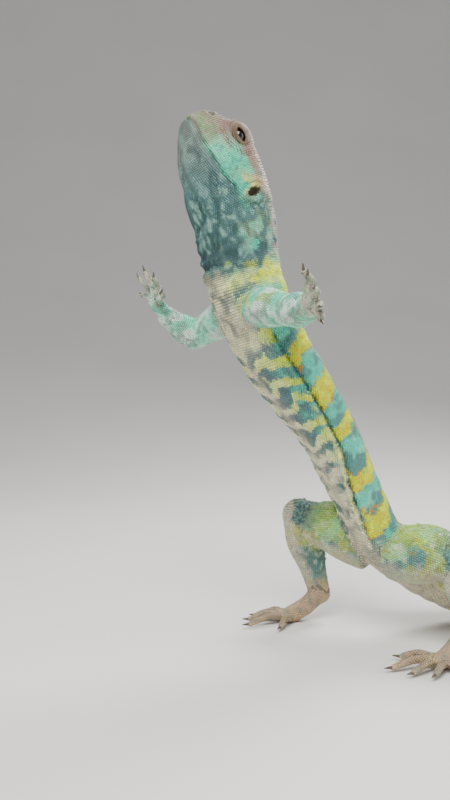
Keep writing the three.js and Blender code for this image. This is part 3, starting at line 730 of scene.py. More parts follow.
base = mesh_from("skin_base", *gather(skin_shapes()))
fused = with_modifiers(
    base,
    ("REMESH", dict(mode="VOXEL", voxel_size=SKIN_GRAIN * MM, use_smooth_shade=True)),
    ("SMOOTH", dict(factor=0.5, iterations=5)),
)
skin_points = points_of(fused)
skin_places = places_on_body(skin_points)
# Where a limb grows out of the trunk, the skin runs over in a smooth hollow.
root = 0.9 * near(skin_places["limb"], 0.5, 0.4) * (skin_places["size"] > 4)
skin_points = relaxed(fused, skin_points, root, 40)
move_points(fused, skin_points)
skin_points = skin_points + normals_of(fused) * forms(skin_points, skin_places)[:, None]
LEAST_HEIGHT = 0.12  # what the soles and the tail's skin keep off the floor
skin_points[:, 2] = np.maximum(skin_points[:, 2], LEAST_HEIGHT)
move_points(fused, skin_points)
skin_normals = normals_of(fused)


# Markings. An ornate male's living colours: a dark teal throat with pale streaks, turquoise cheeks, a
# pinkish crown, yellow and teal bars down the flanks that fade to cream at the belly, and a turquoise back
# with yellow patches edged in rust. Some marks are painted light: painted shade in the creases of the flank
# and throat, in the eye's socket, in the ear opening and in the fold before the shoulder, and a painted
# highlight that makes up part of the nape's pale top. The skin, scales and spines all take their colour from
# here.
def colour(code):
    """An sRGB hex colour as linear red, green and blue."""
    value = np.array([int(code[i : i + 2], 16) for i in (1, 3, 5)]) / 255.0
    return np.where(value <= 0.04045, value / 12.92, ((value + 0.055) / 1.055) ** 2.4)


def rich(code):
    """A colour moved a fifth away from its own grey, since light on scales greys it."""
    value = colour(code)
    grey = value @ np.array([0.2126, 0.7152, 0.0722])
    return np.clip(grey + 1.22 * (value - grey), 0.004, 1)


# Some of these serve as painted light too: 'deep' in the creases of the flank and throat, 'brown' in the
# eye's socket and the ear opening, 'slate' in the fold before the shoulder, and 'nape' partly as a painted
# highlight.
PAINT = {
    "throat": "#4a6766", "throat_pale": "#8fb0a4", "deep": "#293f41", "snout": "#7f796e",
    "snout_green": "#7c916c", "cheek": "#56b498", "mint": "#8bd0b4", "crown": "#9f958a",
    "rose": "#8f6a63", "ear": "#bdb57c", "nape": "#c2b5ac", "slate": "#50686c",
    "yellow": "#cbd459", "pale_yellow": "#ccd894", "lime": "#adc45c", "bar": "#567f7a",
    "cream": "#d6d2b8", "chest": "#bfbaa0", "blotch": "#777a72", "back": "#62b9a4",
    "rust": "#ad7432", "brown": "#5a4632", "arm": "#bfd2c6", "hip": "#a7ab5a",
    "under": "#bdb6a2", "tail": "#c4b45e", "tail_dark": "#6c6f4c", "leg": "#55706b",
    "leg_spot": "#b9c6ab", "toe": "#a98f7a",
}
PAINT = {name: rich(code) for name, code in PAINT.items()}


def blend(under, upper, share):
    """Colours under and upper mixed by the share of the second."""
    return under + (upper - under) * np.clip(share, 0, 1)[:, None]


def over(paint, *layers):
    """Colours, or a named one, under layers of named ones, each with the share of it that shows."""
    paint = PAINT[paint] if isinstance(paint, str) else paint
    for name, share in layers:
        paint = blend(paint, PAINT[name], share)
    return paint


def scattered(points, size, seed):
    """The distance from each point to the nearest of a scatter of places, one in each cell of a grid of the
    given size, as a share of that size."""
    q = points / size
    base = np.floor(q)
    nearest = np.full(len(points), 9.0)
    for step in np.ndindex(3, 3, 3):
        cell = base + np.array(step) - 1
        place = cell + 0.15 + 0.7 * np.stack([lattice(cell, seed + n) for n in range(3)], 1)
        nearest = np.minimum(nearest, np.linalg.norm(q - place, axis=1) + 0.2 * lattice(cell, seed + 3))
    return nearest


def warped(points, size, amount, seed):
    """The points moved about by noise, so that what is laid out on them gets ragged edges."""
    return points + amount * (np.stack([clouds(points, size, seed + n) for n in range(3)], 1) - 0.5)


def trunk_paint(points, s, turn, fold, n9, n5, n3, n2):
    """Flanks, back and belly. Below the fold lie crescents that arch towards the head, yellow near the fold
    and cream further down and towards the hips, with slate bars between them. Above it the back is
    turquoise with yellow patches edged in rust, and rows of ringed yellow spots cross its middle."""
    wave = s - 7 * (turn + 0.85) ** 2 + 6 * (n9 - 0.5) + 4.5 * (n5 - 0.5) + 2 * (n3 - 0.5)
    bar = np.sin(2 * np.pi * wave / 8.6)
    low = over(
        "bar",
        ("slate", 0.2 + 0.8 * ease(n5 + 0.4 * (-turn - 0.9), 0.3, 0.7)),
        ("back", 0.7 * ease(n3, 0.45, 0.7) * (1 - ease(-turn, 0.7, 1.1))),
        ("blotch", 0.6 * ease(-turn + 0.4 * (n3 - 0.5), 1.0, 1.35)),
    )
    crescent = ease(bar + 0.8 * (n5 - 0.5) + 0.9 * (n3 - 0.5) + 0.7 * (n2 - 0.5), -0.4, 0.45)
    hue = over(
        "yellow",
        ("pale_yellow", 0.25 + ease(-turn + 0.5 * (n5 - 0.5), 0.5, 0.95)),
        ("lime", 0.6 * ease(n3, 0.45, 0.75) * (1 - ease(-turn, 0.6, 1.0))),
        ("cream", ease(-turn + 0.5 * (n5 - 0.5) + 0.01 * (s - 105), 1.0, 1.4)),
        ("cream", 0.75 * ease(s, 118, 142)),
    )
    low = over(blend(low, hue, crescent), ("cream", 0.5 * ease(s, 120, 146) * ease(n3, 0.3, 0.6)))
    belly = over(
        "cream",
        ("chest", 0.3 + 0.7 * n9),
        ("blotch", 0.7 * ease(n5 + 0.4 * (n3 - 0.5), 0.5, 0.75)),
    )
    low = blend(low, belly, 0.6 * ease(-turn + 0.35 * (n5 - 0.5), 1.3, 1.6))
    patch = np.sin(2 * np.pi * (s + 9 * (n9 - 0.5) + 5 * turn) / 17) + 1.1 * (n5 - 0.5) + 0.9 * (n3 - 0.5)
    patch = patch + 0.5 * (n2 - 0.5)
    high = over(
        "back",
        ("mint", 0.7 * ease(n3, 0.4, 0.8)),
        ("bar", ease(0.64 - n5, 0.0, 0.24)),
        ("lime", ease(patch, -0.15, 0.4)),
        ("yellow", ease(patch, 0.15, 0.75)),
        ("rust", 0.8 * near(patch, 0.1, 0.17) * ease(n3, 0.3, 0.6)),
        ("rust", 0.4 * ease(patch, 0.3, 0.8) * ease(n2, 0.45, 0.7)),
    )
    spot = scattered(warped(points, 2.6, 2.4, 61), 5.2, 31)
    net = over(
        "bar",
        ("brown", 0.6 * ease(n3, 0.3, 0.7)),
        ("back", ease(n9, 0.45, 0.65)),
        ("yellow", 1 - ease(spot, 0.3, 0.52)),
        ("rust", 0.6 * near(spot, 0.56, 0.08)),
    )
    high = blend(high, net, ease(turn + 0.3 * (n5 - 0.5), 0.5, 0.85))
    # The fold itself: painted shade as a dark line in its crease, with a pale ridge under it.
    along_fold = ease(s, 74, 90) * (1 - ease(s, 156, 174))
    return over(
        blend(low, high, ease(fold + 0.05 * (n3 - 0.5), -0.02, 0.06)),
        ("pale_yellow", 0.75 * along_fold * near(fold, -0.12, 0.06) * ease(s, 100, 130)),
        ("deep", along_fold * near(fold, 0.0, 0.04) * (0.5 + 0.45 * ease(n5, 0.35, 0.6))),
    )


def chest_paint(paint, s, turn, n5, n3, n2):
    """Chest and shoulders, laid over the trunk's colours: cream with grey blotches between the arms, a
    yellow collar, and below it a dark comb, partly dark scales and partly painted shade of the fold in front
    of the shoulder."""
    chest = 1 - ease(turn + 0.6 * (n5 - 0.5) + 0.02 * (78 - s), -1.0, -0.55)
    chest = chest * (1 - ease(s + 8 * (n5 - 0.5), 76, 88))
    shoulder = near(s, 66, 9) * ease(turn, -0.3, 0.1)
    collar = near(s + 0.5 * turn + 5 * (n5 - 0.5) + 3 * (n3 - 0.5), 61, 3.6) * ease(turn, -1.25, -0.8)
    # The comb is partly dark scales and partly painted shade of the fold in front of the shoulder.
    comb_and_fold_shade = near(s + 5 * turn, 61, 2.6) * (1 - ease(turn, -0.35, -0.05)) * ease(turn, -1.35, -1.0)
    teeth = 0.4 + 0.6 * ease(np.sin(2 * np.pi * turn * 11) + n3 - 0.5, -0.5, 0.5)
    return over(
        paint,
        ("cream", 0.85 * chest),
        ("chest", chest * ease(n5, 0.35, 0.6)),
        ("blotch", 0.75 * chest * ease(n5 + 0.6 * (n3 - 0.5), 0.5, 0.78)),
        ("throat", 0.5 * chest * ease(n3 + 0.3 * n2, 0.7, 0.95) * (1 - ease(s, 62, 80))),
        ("lime", 0.85 * shoulder * ease(n3, 0.35, 0.6)),
        ("mint", 0.7 * shoulder * ease(n5 + 0.5 * (n3 - 0.5), 0.5, 0.7)),
        ("back", 0.9 * shoulder * ease(n5 + 0.4 * (n2 - 0.5), 0.45, 0.62)),
        ("pale_yellow", collar),
        ("yellow", collar * ease(n3 + 0.5 * turn, 0.1, 0.5)),
        ("slate", 0.5 * collar * ease(n2, 0.5, 0.7)),
        ("slate", 0.9 * comb_and_fold_shade * teeth * ease(n2, 0.2, 0.5)),
    )


def rear_paint(s, turn, n9, n5, n3):
    """Hips and tail: green and turquoise with a rust band, then tan with darker rings, pale below."""
    dark_rings = ease(np.sin(2 * np.pi * s / 26) + 1.2 * (n5 - 0.5), 0.35, 0.9)
    return over(
        "hip",
        ("lime", ease(n5, 0.4, 0.65)),
        ("mint", 0.8 * ease(n9, 0.5, 0.62) * (1 - ease(s, 176, 190))),
        ("bar", 0.85 * ease(0.62 - n9, 0.0, 0.14) * (1 - ease(s, 196, 215))),
        ("rust", 0.8 * ease(n5, 0.58, 0.7) * near(s, 188, 12)),
        ("tail", ease(s, 190, 225)),
        ("tail_dark", 0.6 * dark_rings * ease(s, 196, 215)),
        ("under", 1 - ease(turn + 0.3 * (n5 - 0.5), -0.6, -0.1)),
        ("blotch", 0.4 * ease(n3, 0.55, 0.75) * (1 - ease(turn, -0.6, -0.1))),
    )


def neck_paint(points, s, turn, side, n9, n5, n3, n2):
    """Throat and neck: dark teal with pale lengthwise flecks and painted shade in its creases, smoother
    towards the chin.
    The side of the neck is greener, with pale spots, and a dark band with a turquoise spot ends it."""
    lengthwise = points @ np.stack([HEAD_UP, [0, 1, 0], HEAD_BACK * 0.55], 1)
    ragged = warped(lengthwise, 2.0, 2.6, 45)
    flecks = (1 - ease(scattered(ragged, 2.7, 41), 0.3, 0.62)) * ease(n9 + 0.006 * s, 0.3, 0.6)
    fine = (1 - ease(scattered(ragged, 1.5, 47), 0.28, 0.5)) * ease(n3, 0.3, 0.6)
    chin = 1 - ease(s + 6 * (n5 - 0.5), 10, 26)
    lines = throat_lines(s, turn, side, clouds(points, 7, 11))
    # Painted shade: the bottoms of the throat's lengthwise creases are darkened.
    crease_shade = near(lines, -1, 0.5) * ease(n9, 0.3, 0.5) * ease(s, 6, 16) * (1 - ease(turn, -0.4, 0.1))
    flank = near(s, 45, 8) * ease(turn, -0.5, -0.1)
    band = near(s - 1.5 * turn, 52, 4.0)
    gem = np.hypot((s - 49.5 - 1.5 * (n5 - 0.5)) / 2.4, (turn + 0.05) / 0.2)
    return over(
        "throat",
        ("deep", 0.6 * ease(n5, 0.42, 0.72) * ease(s, 14, 30)),
        ("throat_pale", 0.7 * flecks * ease(s, 14, 30)),
        ("throat_pale", 0.4 * fine * ease(s, 8, 20)),
        ("snout", 0.4 * chin),
        ("throat_pale", 0.3 * chin * ease(n3, 0.4, 0.7)),
        ("deep", 0.65 * crease_shade),
        ("snout_green", 0.45 * flank * ease(n5, 0.45, 0.65)),
        ("mint", 0.5 * flank * ease(n3, 0.5, 0.7)),
        ("deep", 0.85 * band * ease(0.95 - n3, 0.2, 0.55)),
        ("cheek", 0.9 * (1 - ease(gem + 1.1 * (n3 - 0.5) + 0.8 * (n2 - 0.5), 0.5, 1.1))),
    )


def face_paint(a, u, n5, n3, n2, eye):
    """Face above the mouth: tan snout with green, turquoise cheek with fine dark rows, pinkish skin behind
    the eye, a yellowish ear, and painted shade in the sunk socket round the eye."""
    edge = u - 0.12 * (20 - a) + 2.6 * (n3 - 0.5) + 2 * (n5 - 0.5)
    cheek = ease(a - 0.2 * u + 6 * (n5 - 0.5) + 4 * (n3 - 0.5), 10, 17) * (1 - ease(edge, 5.5, 8.5))
    rows = near(np.sin(2 * np.pi * (a * 0.8 + u * 0.6) / 2.3), -1, 0.45)
    rows = rows * near(np.hypot((a - 25) / 6.5, (u - 1) / 4.5), 0, 0.9)
    return over(
        "snout",
        ("snout_green", 0.85 * ease(n5 + 0.2 * (3 - u) / 6, 0.46, 0.7)),
        ("crown", 0.5 * ease(n3, 0.5, 0.75)),
        ("brown", 0.3 * ease(n2 + n3, 1.15, 1.4)),
        ("mint", 0.85 * cheek),
        ("cheek", cheek * ease(a + 7 * (n5 - 0.5) + 6 * (n3 - 0.5), 13, 21)),
        ("throat", 0.35 * cheek * ease(n2 + 0.6 * n3, 0.85, 1.1)),
        ("deep", 0.6 * rows * ease(n2, 0.25, 0.55)),
        ("ear", near(np.hypot((a - 31) / 5.2, (u - 2.5) / 5), 0, 0.85) * ease(n3, 0.2, 0.5)),
        ("rust", 0.5 * near(np.hypot((a - 31.5) / 3.4, (u - 6.5) / 1.7), 0, 0.8)),
        ("rose", 0.85 * near(np.hypot((a - 20) / 6.0, (u - 10.5) / 2.6), 0, 0.9)),
        ("rose", 0.6 * near(eye, 0.95, 0.35) * ease(n5, 0.3, 0.5)),
        # Painted shade: the sunk socket round the eye, mostly under the lids, is brown.
        ("brown", 0.8 * (1 - ease(eye, 0.5, 0.85))),
    )


def limb_paint(points, where, n9, n5, n3, n2):
    """Arms pale with turquoise and a yellow-green upper edge; legs slate with pale spots and green patches;
    hands and feet tan."""
    s, is_arm = where["along"], kind_of(where) < 2.5
    top = ease(points[:, 2] - PELVIS[2] - 84 + 3 * (n5 - 0.5), -1.0, 4.0)
    arm = over(
        "arm",
        ("mint", ease(n5 + 0.5 * (n3 - 0.5), 0.4, 0.66)),
        ("cheek", 0.7 * ease(n5 + 0.4 * (n2 - 0.5), 0.5, 0.75) * (0.4 + 0.6 * top)),
        ("lime", 0.75 * top * ease(n3, 0.45, 0.7) * (1 - ease(s, 20, 32))),
        ("blotch", 0.6 * ease(n3 + 0.5 * n2, 0.78, 1.05)),
    )
    spot = scattered(warped(points, 2.2, 2.6, 64), 3.4, 51)
    thigh = 1 - ease(s + 6 * (n5 - 0.5), 14, 30)
    below = 1 - ease(where["turn"] + 0.5 * (n5 - 0.5) + 0.3 * (n3 - 0.5), -0.95, -0.45)
    leg = over(
        "leg",
        ("bar", ease(n9 + 0.4 * (n3 - 0.5), 0.35, 0.62)),
        ("hip", 0.85 * ease(n9 + 0.5 * (n5 - 0.5) + 0.3 * (n3 - 0.5), 0.46, 0.68)),
        ("lime", 0.7 * thigh * ease(points[:, 2] - PELVIS[2] + 4 * (n5 - 0.5), -2, 4)),
        ("mint", 0.5 * thigh * ease(n5, 0.5, 0.7)),
        ("leg_spot", 0.75 * (1 - ease(spot, 0.3, 0.55)) * ease(n5, 0.25, 0.5)),
        ("brown", 0.4 * ease(n3 + n2, 1.15, 1.4)),
        ("under", 0.7 * below),
    )
    paw_from = np.where(is_arm, 42, 56)
    paw = ease(s + 9 * (n5 - 0.5) + 5 * (n3 - 0.5), paw_from, paw_from + 10)
    return over(
        np.where(is_arm[:, None], arm, leg),
        ("toe", np.where(is_arm, 0.6, 0.85) * paw),
        ("leg", 0.45 * ease(n2, 0.52, 0.72) * ease(s, 30, 42)),
    )


def markings(points, where):
    """The colour at each point, by its place along the body and its turn about it: the trunk's, then the
    chest's, the rear's, the neck's, the face's and the limbs', each over the ones before."""
    s, turn = where["along"], where["turn"]
    n9, n5, n3, n2 = (clouds(points, size, seed) for size, seed in ((9, 1), (5, 2), (2.6, 3), (1.5, 4)))
    # Two sizes of cloud are added to each other, so that no edge looks round.
    n9, n5 = 0.7 * n9 + 0.3 * n5, 0.65 * n5 + 0.35 * n2
    paint = trunk_paint(points, s, turn, fold_at(where), n9, n5, n3, n2)
    paint = chest_paint(paint, s, turn, n5, n3, n2)
    paint = blend(paint, rear_paint(s, turn, n9, n5, n3), ease(s + 6 * (n9 - 0.5), 164, 174))
    neck = 1 - ease(s + 1.6 * turn + 5 * (n5 - 0.5) + 4 * (n3 - 0.5), 54, 58)
    paint = blend(paint, neck_paint(points, s, turn, where["side"], n9, n5, n3, n2), neck)
    a, u, _, eye, ear, _ = head_marks(points)
    eye = eye + 9 * (s > HEAD_LENGTH)
    head = neck * (s < HEAD_LENGTH + 8)
    above_mouth = u - mouth_level(np.maximum(a, 0)) + 1.8 * (n3 - 0.5)
    face = ease(above_mouth, -0.8, 1.4) * (1 - ease(a + 5 * (n5 - 0.5), 32, 39)) * head
    paint = blend(paint, face_paint(a, u, n5, n3, n2, eye), face)
    tan_top = ease(u + 0.25 * np.minimum(a - 12, 0) + 1.8 * (n5 - 0.5), 9.0, 12.0) * head
    # The nape's pale top is partly its own colour and partly a painted highlight where light falls on the
    # neck.
    nape = ease(turn + 0.5 * (n5 - 0.5) + 0.3 * (n3 - 0.5), 0.5, 0.95) * ease(s, 26, 34) * neck
    paint = over(
        paint,
        # Painted shade: the inside of the sunk ear opening is brown.
        ("brown", (1 - ease(ear, 0.6, 0.95)) * head),
        ("snout", 0.8 * tan_top),
        ("crown", 0.9 * tan_top * ease(n3 + 0.02 * a, 0.3, 0.7)),
        ("brown", 0.5 * tan_top * ease(n3 + n2, 1.1, 1.35)),
        # The pale top of the nape: partly its own colour, partly a painted highlight.
        ("nape", 0.85 * nape * ease(n3, 0.12, 0.4)),
        ("rose", 0.45 * nape * ease(n2, 0.5, 0.7)),
    )
    share = where["limb"] * (where["part"] > 0.5)
    return blend(paint, limb_paint(points, where, n9, n5, n3, n2), share)


def join(tree, made, **links):
    """Links or sets a node's inputs: each is named, with _ for a space, or numbered after a _."""
    for key, value in links.items():
        name = key.replace("_", " ")
        socket = made.inputs[name] if name in made.inputs else made.inputs[int(key[1:])]
        if isinstance(value, bpy.types.NodeSocket):
            tree.links.new(value, socket)
        else:
            socket.default_value = value


def node(tree, kind, settings=(), **links):
    """A shader node with its settings and inputs: a socket is linked and a value is set."""
    made = tree.nodes.new(kind)
    for key, value in dict(settings).items():
        setattr(made, key, value)
    join(tree, made, **links)
    return made


def new_material(name):
    """An empty material with its node tree and principled shader."""
    material = bpy.data.materials.new(name)
    material.use_nodes = True
    return material, material.node_tree, material.node_tree.nodes["Principled BSDF"]


# Living reptile skin: keratin over pigment, matt between the scales. The eye sees soft mottling and fine
# granules about 0.5 mm across, with painted shade darkening their grooves.
def skin_material():
    """Base colour from the painted attribute, mottled by noise and darkened by painted shade in the granules'
    grooves, with the same granules as bump."""
    material, tree, shader = new_material("reptile_skin")
    place = node(tree, "ShaderNodeTexCoord").outputs["Object"]
    paint = node(tree, "ShaderNodeAttribute", dict(attribute_name="paint")).outputs["Color"]
    grains = node(tree, "ShaderNodeTexVoronoi", Vector=place, Scale=1 / (0.55 * MM)).outputs["Distance"]
    # Painted shade: the granules' grooves darken the base colour.
    groove_shade = node(tree, "ShaderNodeMapRange", Value=grains, _1=0.2, _2=0.75, _3=1.0, _4=0.62)
    mottle = node(tree, "ShaderNodeTexNoise", Vector=place, Scale=1 / (2.2 * MM), Detail=4.0).outputs["Fac"]
    shade = node(tree, "ShaderNodeMapRange", Value=mottle, _1=0.3, _2=0.7, _3=0.8, _4=1.14)
    both = node(tree, "ShaderNodeMath", dict(operation="MULTIPLY"), _0=groove_shade.outputs[0], _1=shade.outputs[0])
    mixed = node(tree, "ShaderNodeVectorMath", dict(operation="SCALE"), _0=paint, Scale=both.outputs[0])
    rough = node(tree, "ShaderNodeMapRange", Value=mottle, _1=0.2, _2=0.8, _3=0.55, _4=0.75)
    bump = node(tree, "ShaderNodeBump", dict(invert=True), Strength=0.55, Distance=0.12 * MM, Height=grains)
    join(tree, shader, Base_Color=mixed.outputs[0], Roughness=rough.outputs[0], Normal=bump.outputs[0])
    join(tree, shader, Specular_IOR_Level=0.35)
    return material


def add_paint(mesh, paint):
    """Stores a colour for each point."""
    layer = mesh.color_attributes.new("paint", "FLOAT_COLOR", "POINT")
    layer.data.foreach_set("color", np.hstack([paint, np.ones((len(paint), 1))]).astype(np.float32).ravel())


def add_piece(name, mesh, material, replaces=()):
    """A finished piece at the origin, riding on the one body."""
    obj = put(name, mesh)
    mesh.materials.clear()
    mesh.materials.append(material)
    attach(obj, "root")
    if replaces:
        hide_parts(*replaces)


SKIN_FACES = 190000
SKIN_SHADE = 0.62  # painted shade: the skin between the scales, which they shade, is painted darker than they are
skin_places = places_on_body(skin_points)
add_paint(fused, markings(skin_points, skin_places) * SKIN_SHADE)
triangles = sum(len(p.vertices) - 2 for p in fused.polygons)
thinned = dict(ratio=min(1.0, SKIN_FACES / triangles), use_collapse_triangulate=True)
skin_mesh = with_modifiers(fused, ("DECIMATE", thinned))
skin_mesh.name = "skin"
skin_mesh.polygons.foreach_set("use_smooth", np.ones(len(skin_mesh.polygons), bool))
flesh = [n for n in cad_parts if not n.startswith("eye")]
skin_finish = skin_material()
add_piece("skin", skin_mesh, skin_finish, flesh)

# Scales. Small plates of horn lie in rows round the body, each a low dome that leans back, larger on the
# belly and the crown and smallest on the face and toes. They are set out by their places on the body, one
# to a cell of a honeycomb, and joined into a few pieces of coat.
SCALE_SIDES = 6
HONEYCOMB = 0.866  # a honeycomb's rows are this share of its pitch apart
TRUNK_FROM, TAIL_FROM, TIP_FROM = 74, 181, 285  # along the body, from the nose
LOW_FLANK = -0.62  # the turn below which the belly's scales grow

# The kinds of scale: pitch round the body in millimetres, and height as a share of it.
ZONES = np.array([
    [0.78, 0.3],  # back and flanks
    [1.0, 0.2],  # belly
    [0.7, 0.3],  # neck
    [0.82, 0.3],  # face
    [1.2, 0.14],  # crown
    [0.85, 0.3],  # arms
    [0.95, 0.3],  # legs
    [0.64, 0.16],  # digits
    [1.5, 0.2],  # tail
    [1.1, 0.2],  # tail tip
])
LEG_ZONE = 6


def scale_material():
    """Horn over pigment: each scale mottled lighter and darker than its own tint, and faintly glossy."""
    material, tree, shader = new_material("scale_horn")
    place = node(tree, "ShaderNodeTexCoord").outputs["Object"]
    paint = node(tree, "ShaderNodeAttribute", dict(attribute_name="paint")).outputs["Color"]
    mottle = node(tree, "ShaderNodeTexNoise", Vector=place, Scale=1 / (0.5 * MM), Detail=3.0).outputs["Fac"]
    shade = node(tree, "ShaderNodeMapRange", Value=mottle, _1=0.25, _2=0.75, _3=0.86, _4=1.1)
    mixed = node(tree, "ShaderNodeVectorMath", dict(operation="SCALE"), _0=paint, Scale=shade.outputs[0])
    rough = node(tree, "ShaderNodeMapRange", Value=mottle, _1=0.2, _2=0.8, _3=0.4, _4=0.58)
    bump = node(tree, "ShaderNodeBump", Strength=0.25, Distance=0.03 * MM, Height=mottle)
    join(tree, shader, Base_Color=mixed.outputs[0], Roughness=rough.outputs[0], Normal=bump.outputs[0])
    join(tree, shader, Specular_IOR_Level=0.4)
    return material


def zone_of(where):
    """Which kind of scale grows at each place: a row of ZONES, where a later test overrules those before."""
    s, turn, kind = where["along"], where["turn"], kind_of(where)
    body = kind < 0.5
    zone = np.zeros(len(s), int)
    tests = (
        body & (turn < LOW_FLANK),
        body & (s < 62),
        body & (s < 37),
        body & (s < 35) & (turn > 0.7),
        (kind == 1) | (kind == 2),
        kind > 2.5,
        where["part"] - kind > 0.05,
        body & (s > TAIL_FROM),
        body & (s > TIP_FROM),
    )
    for number, there in enumerate(tests, start=1):
        zone[there] = number
    return zone


def scale_places(points, normals, where):
    """One place for each cell of a honeycomb: rows by distance along the body, and in each row a whole
    number of steps round it, every other row moved by half a step. The point nearest to the cell's middle
    gives the place, and is then moved over the surface to that middle."""
    zone = zone_of(where)
    pitch = ZONES[zone, 0]
    deep = pitch * HONEYCOMB
    row = np.floor(where["along"] / deep)
    line = np.round(where["part"] * 10) * 1e6 + zone * 1e5 + (row + 500)
    _, group = np.unique(line, return_inverse=True)
    girth = np.bincount(group, where["girth"]) / np.bincount(group)
    columns = np.maximum(np.round(2 * girth[group] / pitch), 4)
    step = 2 * where["girth"] / columns
    around = where["share"] * where["side"] * columns / 2 + 0.5 * (row % 2)
    column = np.mod(np.floor(around), columns)
    miss_along = (row + 0.5) * deep - where["along"]
    miss_around = (np.floor(around) + 0.5 - around) * step
    cell = group * 1000.0 + column
    order = np.lexsort((np.hypot(miss_along, miss_around), cell))
    _, first = np.unique(cell[order], return_index=True)
    chosen = order[first]
    n = normals[chosen]
    back = where["tail_ward"][chosen]
    back = unit(back - n * (back * n).sum(1, keepdims=True))
    across = np.cross(n, back)
    limit = pitch[chosen] * 0.35
    moved = points[chosen] + back * np.clip(miss_along[chosen], -limit, limit)[:, None]
    moved += across * np.clip(miss_around[chosen], -limit, limit)[:, None]
    return chosen, moved, n, back, across, pitch[chosen], zone[chosen]


def fan(first, around, middle):
    """Triangles from a ring of points to a middle one, whose number is given twice."""
    i = np.arange(around)
    return np.stack([first + i, first + (i + 1) % around, 0 * i + middle, 0 * i + middle], 1)


def copies(faces, count, each):
    """The faces of one small shape for a number of them, with so many points each."""
    return (faces[None] + (np.arange(count) * each)[:, None, None]).reshape(-1, 4)


def domes(at, out, back, across, length, width, height, lean):
    """Closed six-sided domes: a wide ring under the skin, a narrower one on it, a middle point on top and a
    flat base. The top leans towards the tail. Returns points, faces and the points of each."""
    turn = np.arange(SCALE_SIDES) * 2 * np.pi / SCALE_SIDES
    c, s = np.cos(turn)[None, :, None], np.sin(turn)[None, :, None]
    a, b = back[:, None] * length[:, None, None] / 2, across[:, None] * width[:, None, None] / 2
    up = out[:, None] * height[:, None, None]
    centre = at[:, None]
    rings = ((1.0, -0.4), (0.8, 0.45))  # share of the size and of the height
    levels = [centre + a * (c * share + lean * rise) + b * s * share + up * rise for share, rise in rings]
    points = np.concatenate([*levels, centre + a * lean + up], 1)
    each = SCALE_SIDES * len(rings) + 1
    sides, top = walls(len(rings), SCALE_SIDES), fan(SCALE_SIDES, SCALE_SIDES, each - 1)
    faces = np.vstack([sides, top, [[0, 3, 2, 1], [0, 5, 4, 3]]])
    return points.reshape(-1, 3), copies(faces, len(at), each), each


BODY_RUN, LIMB_RUN = 340, 90  # the lengths that fill the body's and a limb's band of the unwrapped skin


def unwrapped(where):
    """Each point's place on the unwrapped skin, from 0 to 1 both ways: the body in one wide band, the limbs
    in four narrow ones above it, and the digits at their ends."""
    s, kind = where["along"], kind_of(where)
    digit = np.round((where["part"] - kind) * 10)
    about = (where["side"] * where["share"] + 1) / 2
    band = 0.6 + 0.1 * (kind - 1)
    places = (
        (0.01 + 0.98 * s / BODY_RUN, 0.01 + 0.56 * about),
        (0.8 + 0.04 * (digit - 1) + 0.035 * about, band + 0.09 * np.clip((s - 45) / 60, 0, 1)),
        (0.01 + 0.78 * s / LIMB_RUN, band + 0.09 * about),
    )
    return np.stack([np.where(kind < 0.5, b, np.where(digit > 0, d, l)) for b, d, l in zip(*places)], 1)


def bake_map(mesh, home, each, spread=0.003):
    """A UV map named OFBake: each piece of coat is a patch 0.003 across at its root's place on the unwrapped
    body. home is that place for each piece, and its points lie on a spiral in the patch."""
    layer = mesh.uv_layers.new(name="OFBake")
    corners = read(mesh.loops, "vertex_index", kind=np.int32)
    turn = (corners % each) * 2.39996  # the golden angle
    reach = spread / 2 * (0.35 + 0.65 * ((corners % each) / each))
    uv = home[corners // each] + np.stack([np.cos(turn), np.sin(turn)], 1) * reach[:, None]
    layer.data.foreach_set("uv", uv.astype(np.float32).ravel())


scale_finish = scale_material()


def add_coat(name, points, faces, each, where, paint, smooth=True):
    """Many small pieces as one mesh, each at its place on the body, with a colour for each point."""
    mesh = mesh_from(name, points, faces, smooth)
    bake_map(mesh, unwrapped(where), each)
    add_paint(mesh, paint)
    add_piece(name, mesh, scale_finish)


def with_face_middles(mesh, points, normals):
    """The mesh's points and its four-sided faces' middles, with their normals, as a denser sample of it."""
    sizes = read(mesh.polygons, "loop_total", kind=np.int32)
    corners = read(mesh.loops, "vertex_index", kind=np.int32)
    corners = corners[np.repeat(sizes, sizes) == 4].reshape(-1, 4)
    return np.vstack([points, points[corners].mean(1)]), np.vstack([normals, unit(normals[corners].mean(1))])


dense_points, dense_normals = with_face_middles(fused, skin_points, skin_normals)
dense_places = places_on_body(dense_points)
chosen, at, out, back, across, size, zone = scale_places(dense_points, dense_normals, dense_places)
grown = {key: value[chosen] for key, value in dense_places.items()}
on_body, s_at, turn_at = grown["part"] < 0.5, grown["along"], grown["turn"]
back_at, _, out_at, eye_gap, ear_gap, nostril_gap = head_marks(at)
on_head = on_body & (s_at < 42)
at_eye = (eye_gap < 0.62) & (out_at > 6) & on_head
at_ear = (ear_gap < 0.85) & (out_at > 8) & on_head
at_nostril = (nostril_gap < 0.9) & on_head
under_foot = at[:, 2] < 0.45
keep = ~(at_eye | at_ear | at_nostril | under_foot)
draw = np.random.default_rng(7)
jitter = draw.normal(0, 1, (len(at), 4))
# Each scale has one colour, taken a little off its place, so that the markings' edges step from scale to
# scale, and a tint of its own.
off = draw.normal(0, 1, (len(at), 2))
shifted = {**grown, "along": s_at + 0.3 * off[:, 0], "turn": turn_at + 0.025 * off[:, 1]}
tints = draw.normal(0, 1, (len(at), 3))
scale_paint = markings(at, shifted) * (1 + 0.09 * jitter[:, :1]) * (1 + 0.04 * tints)
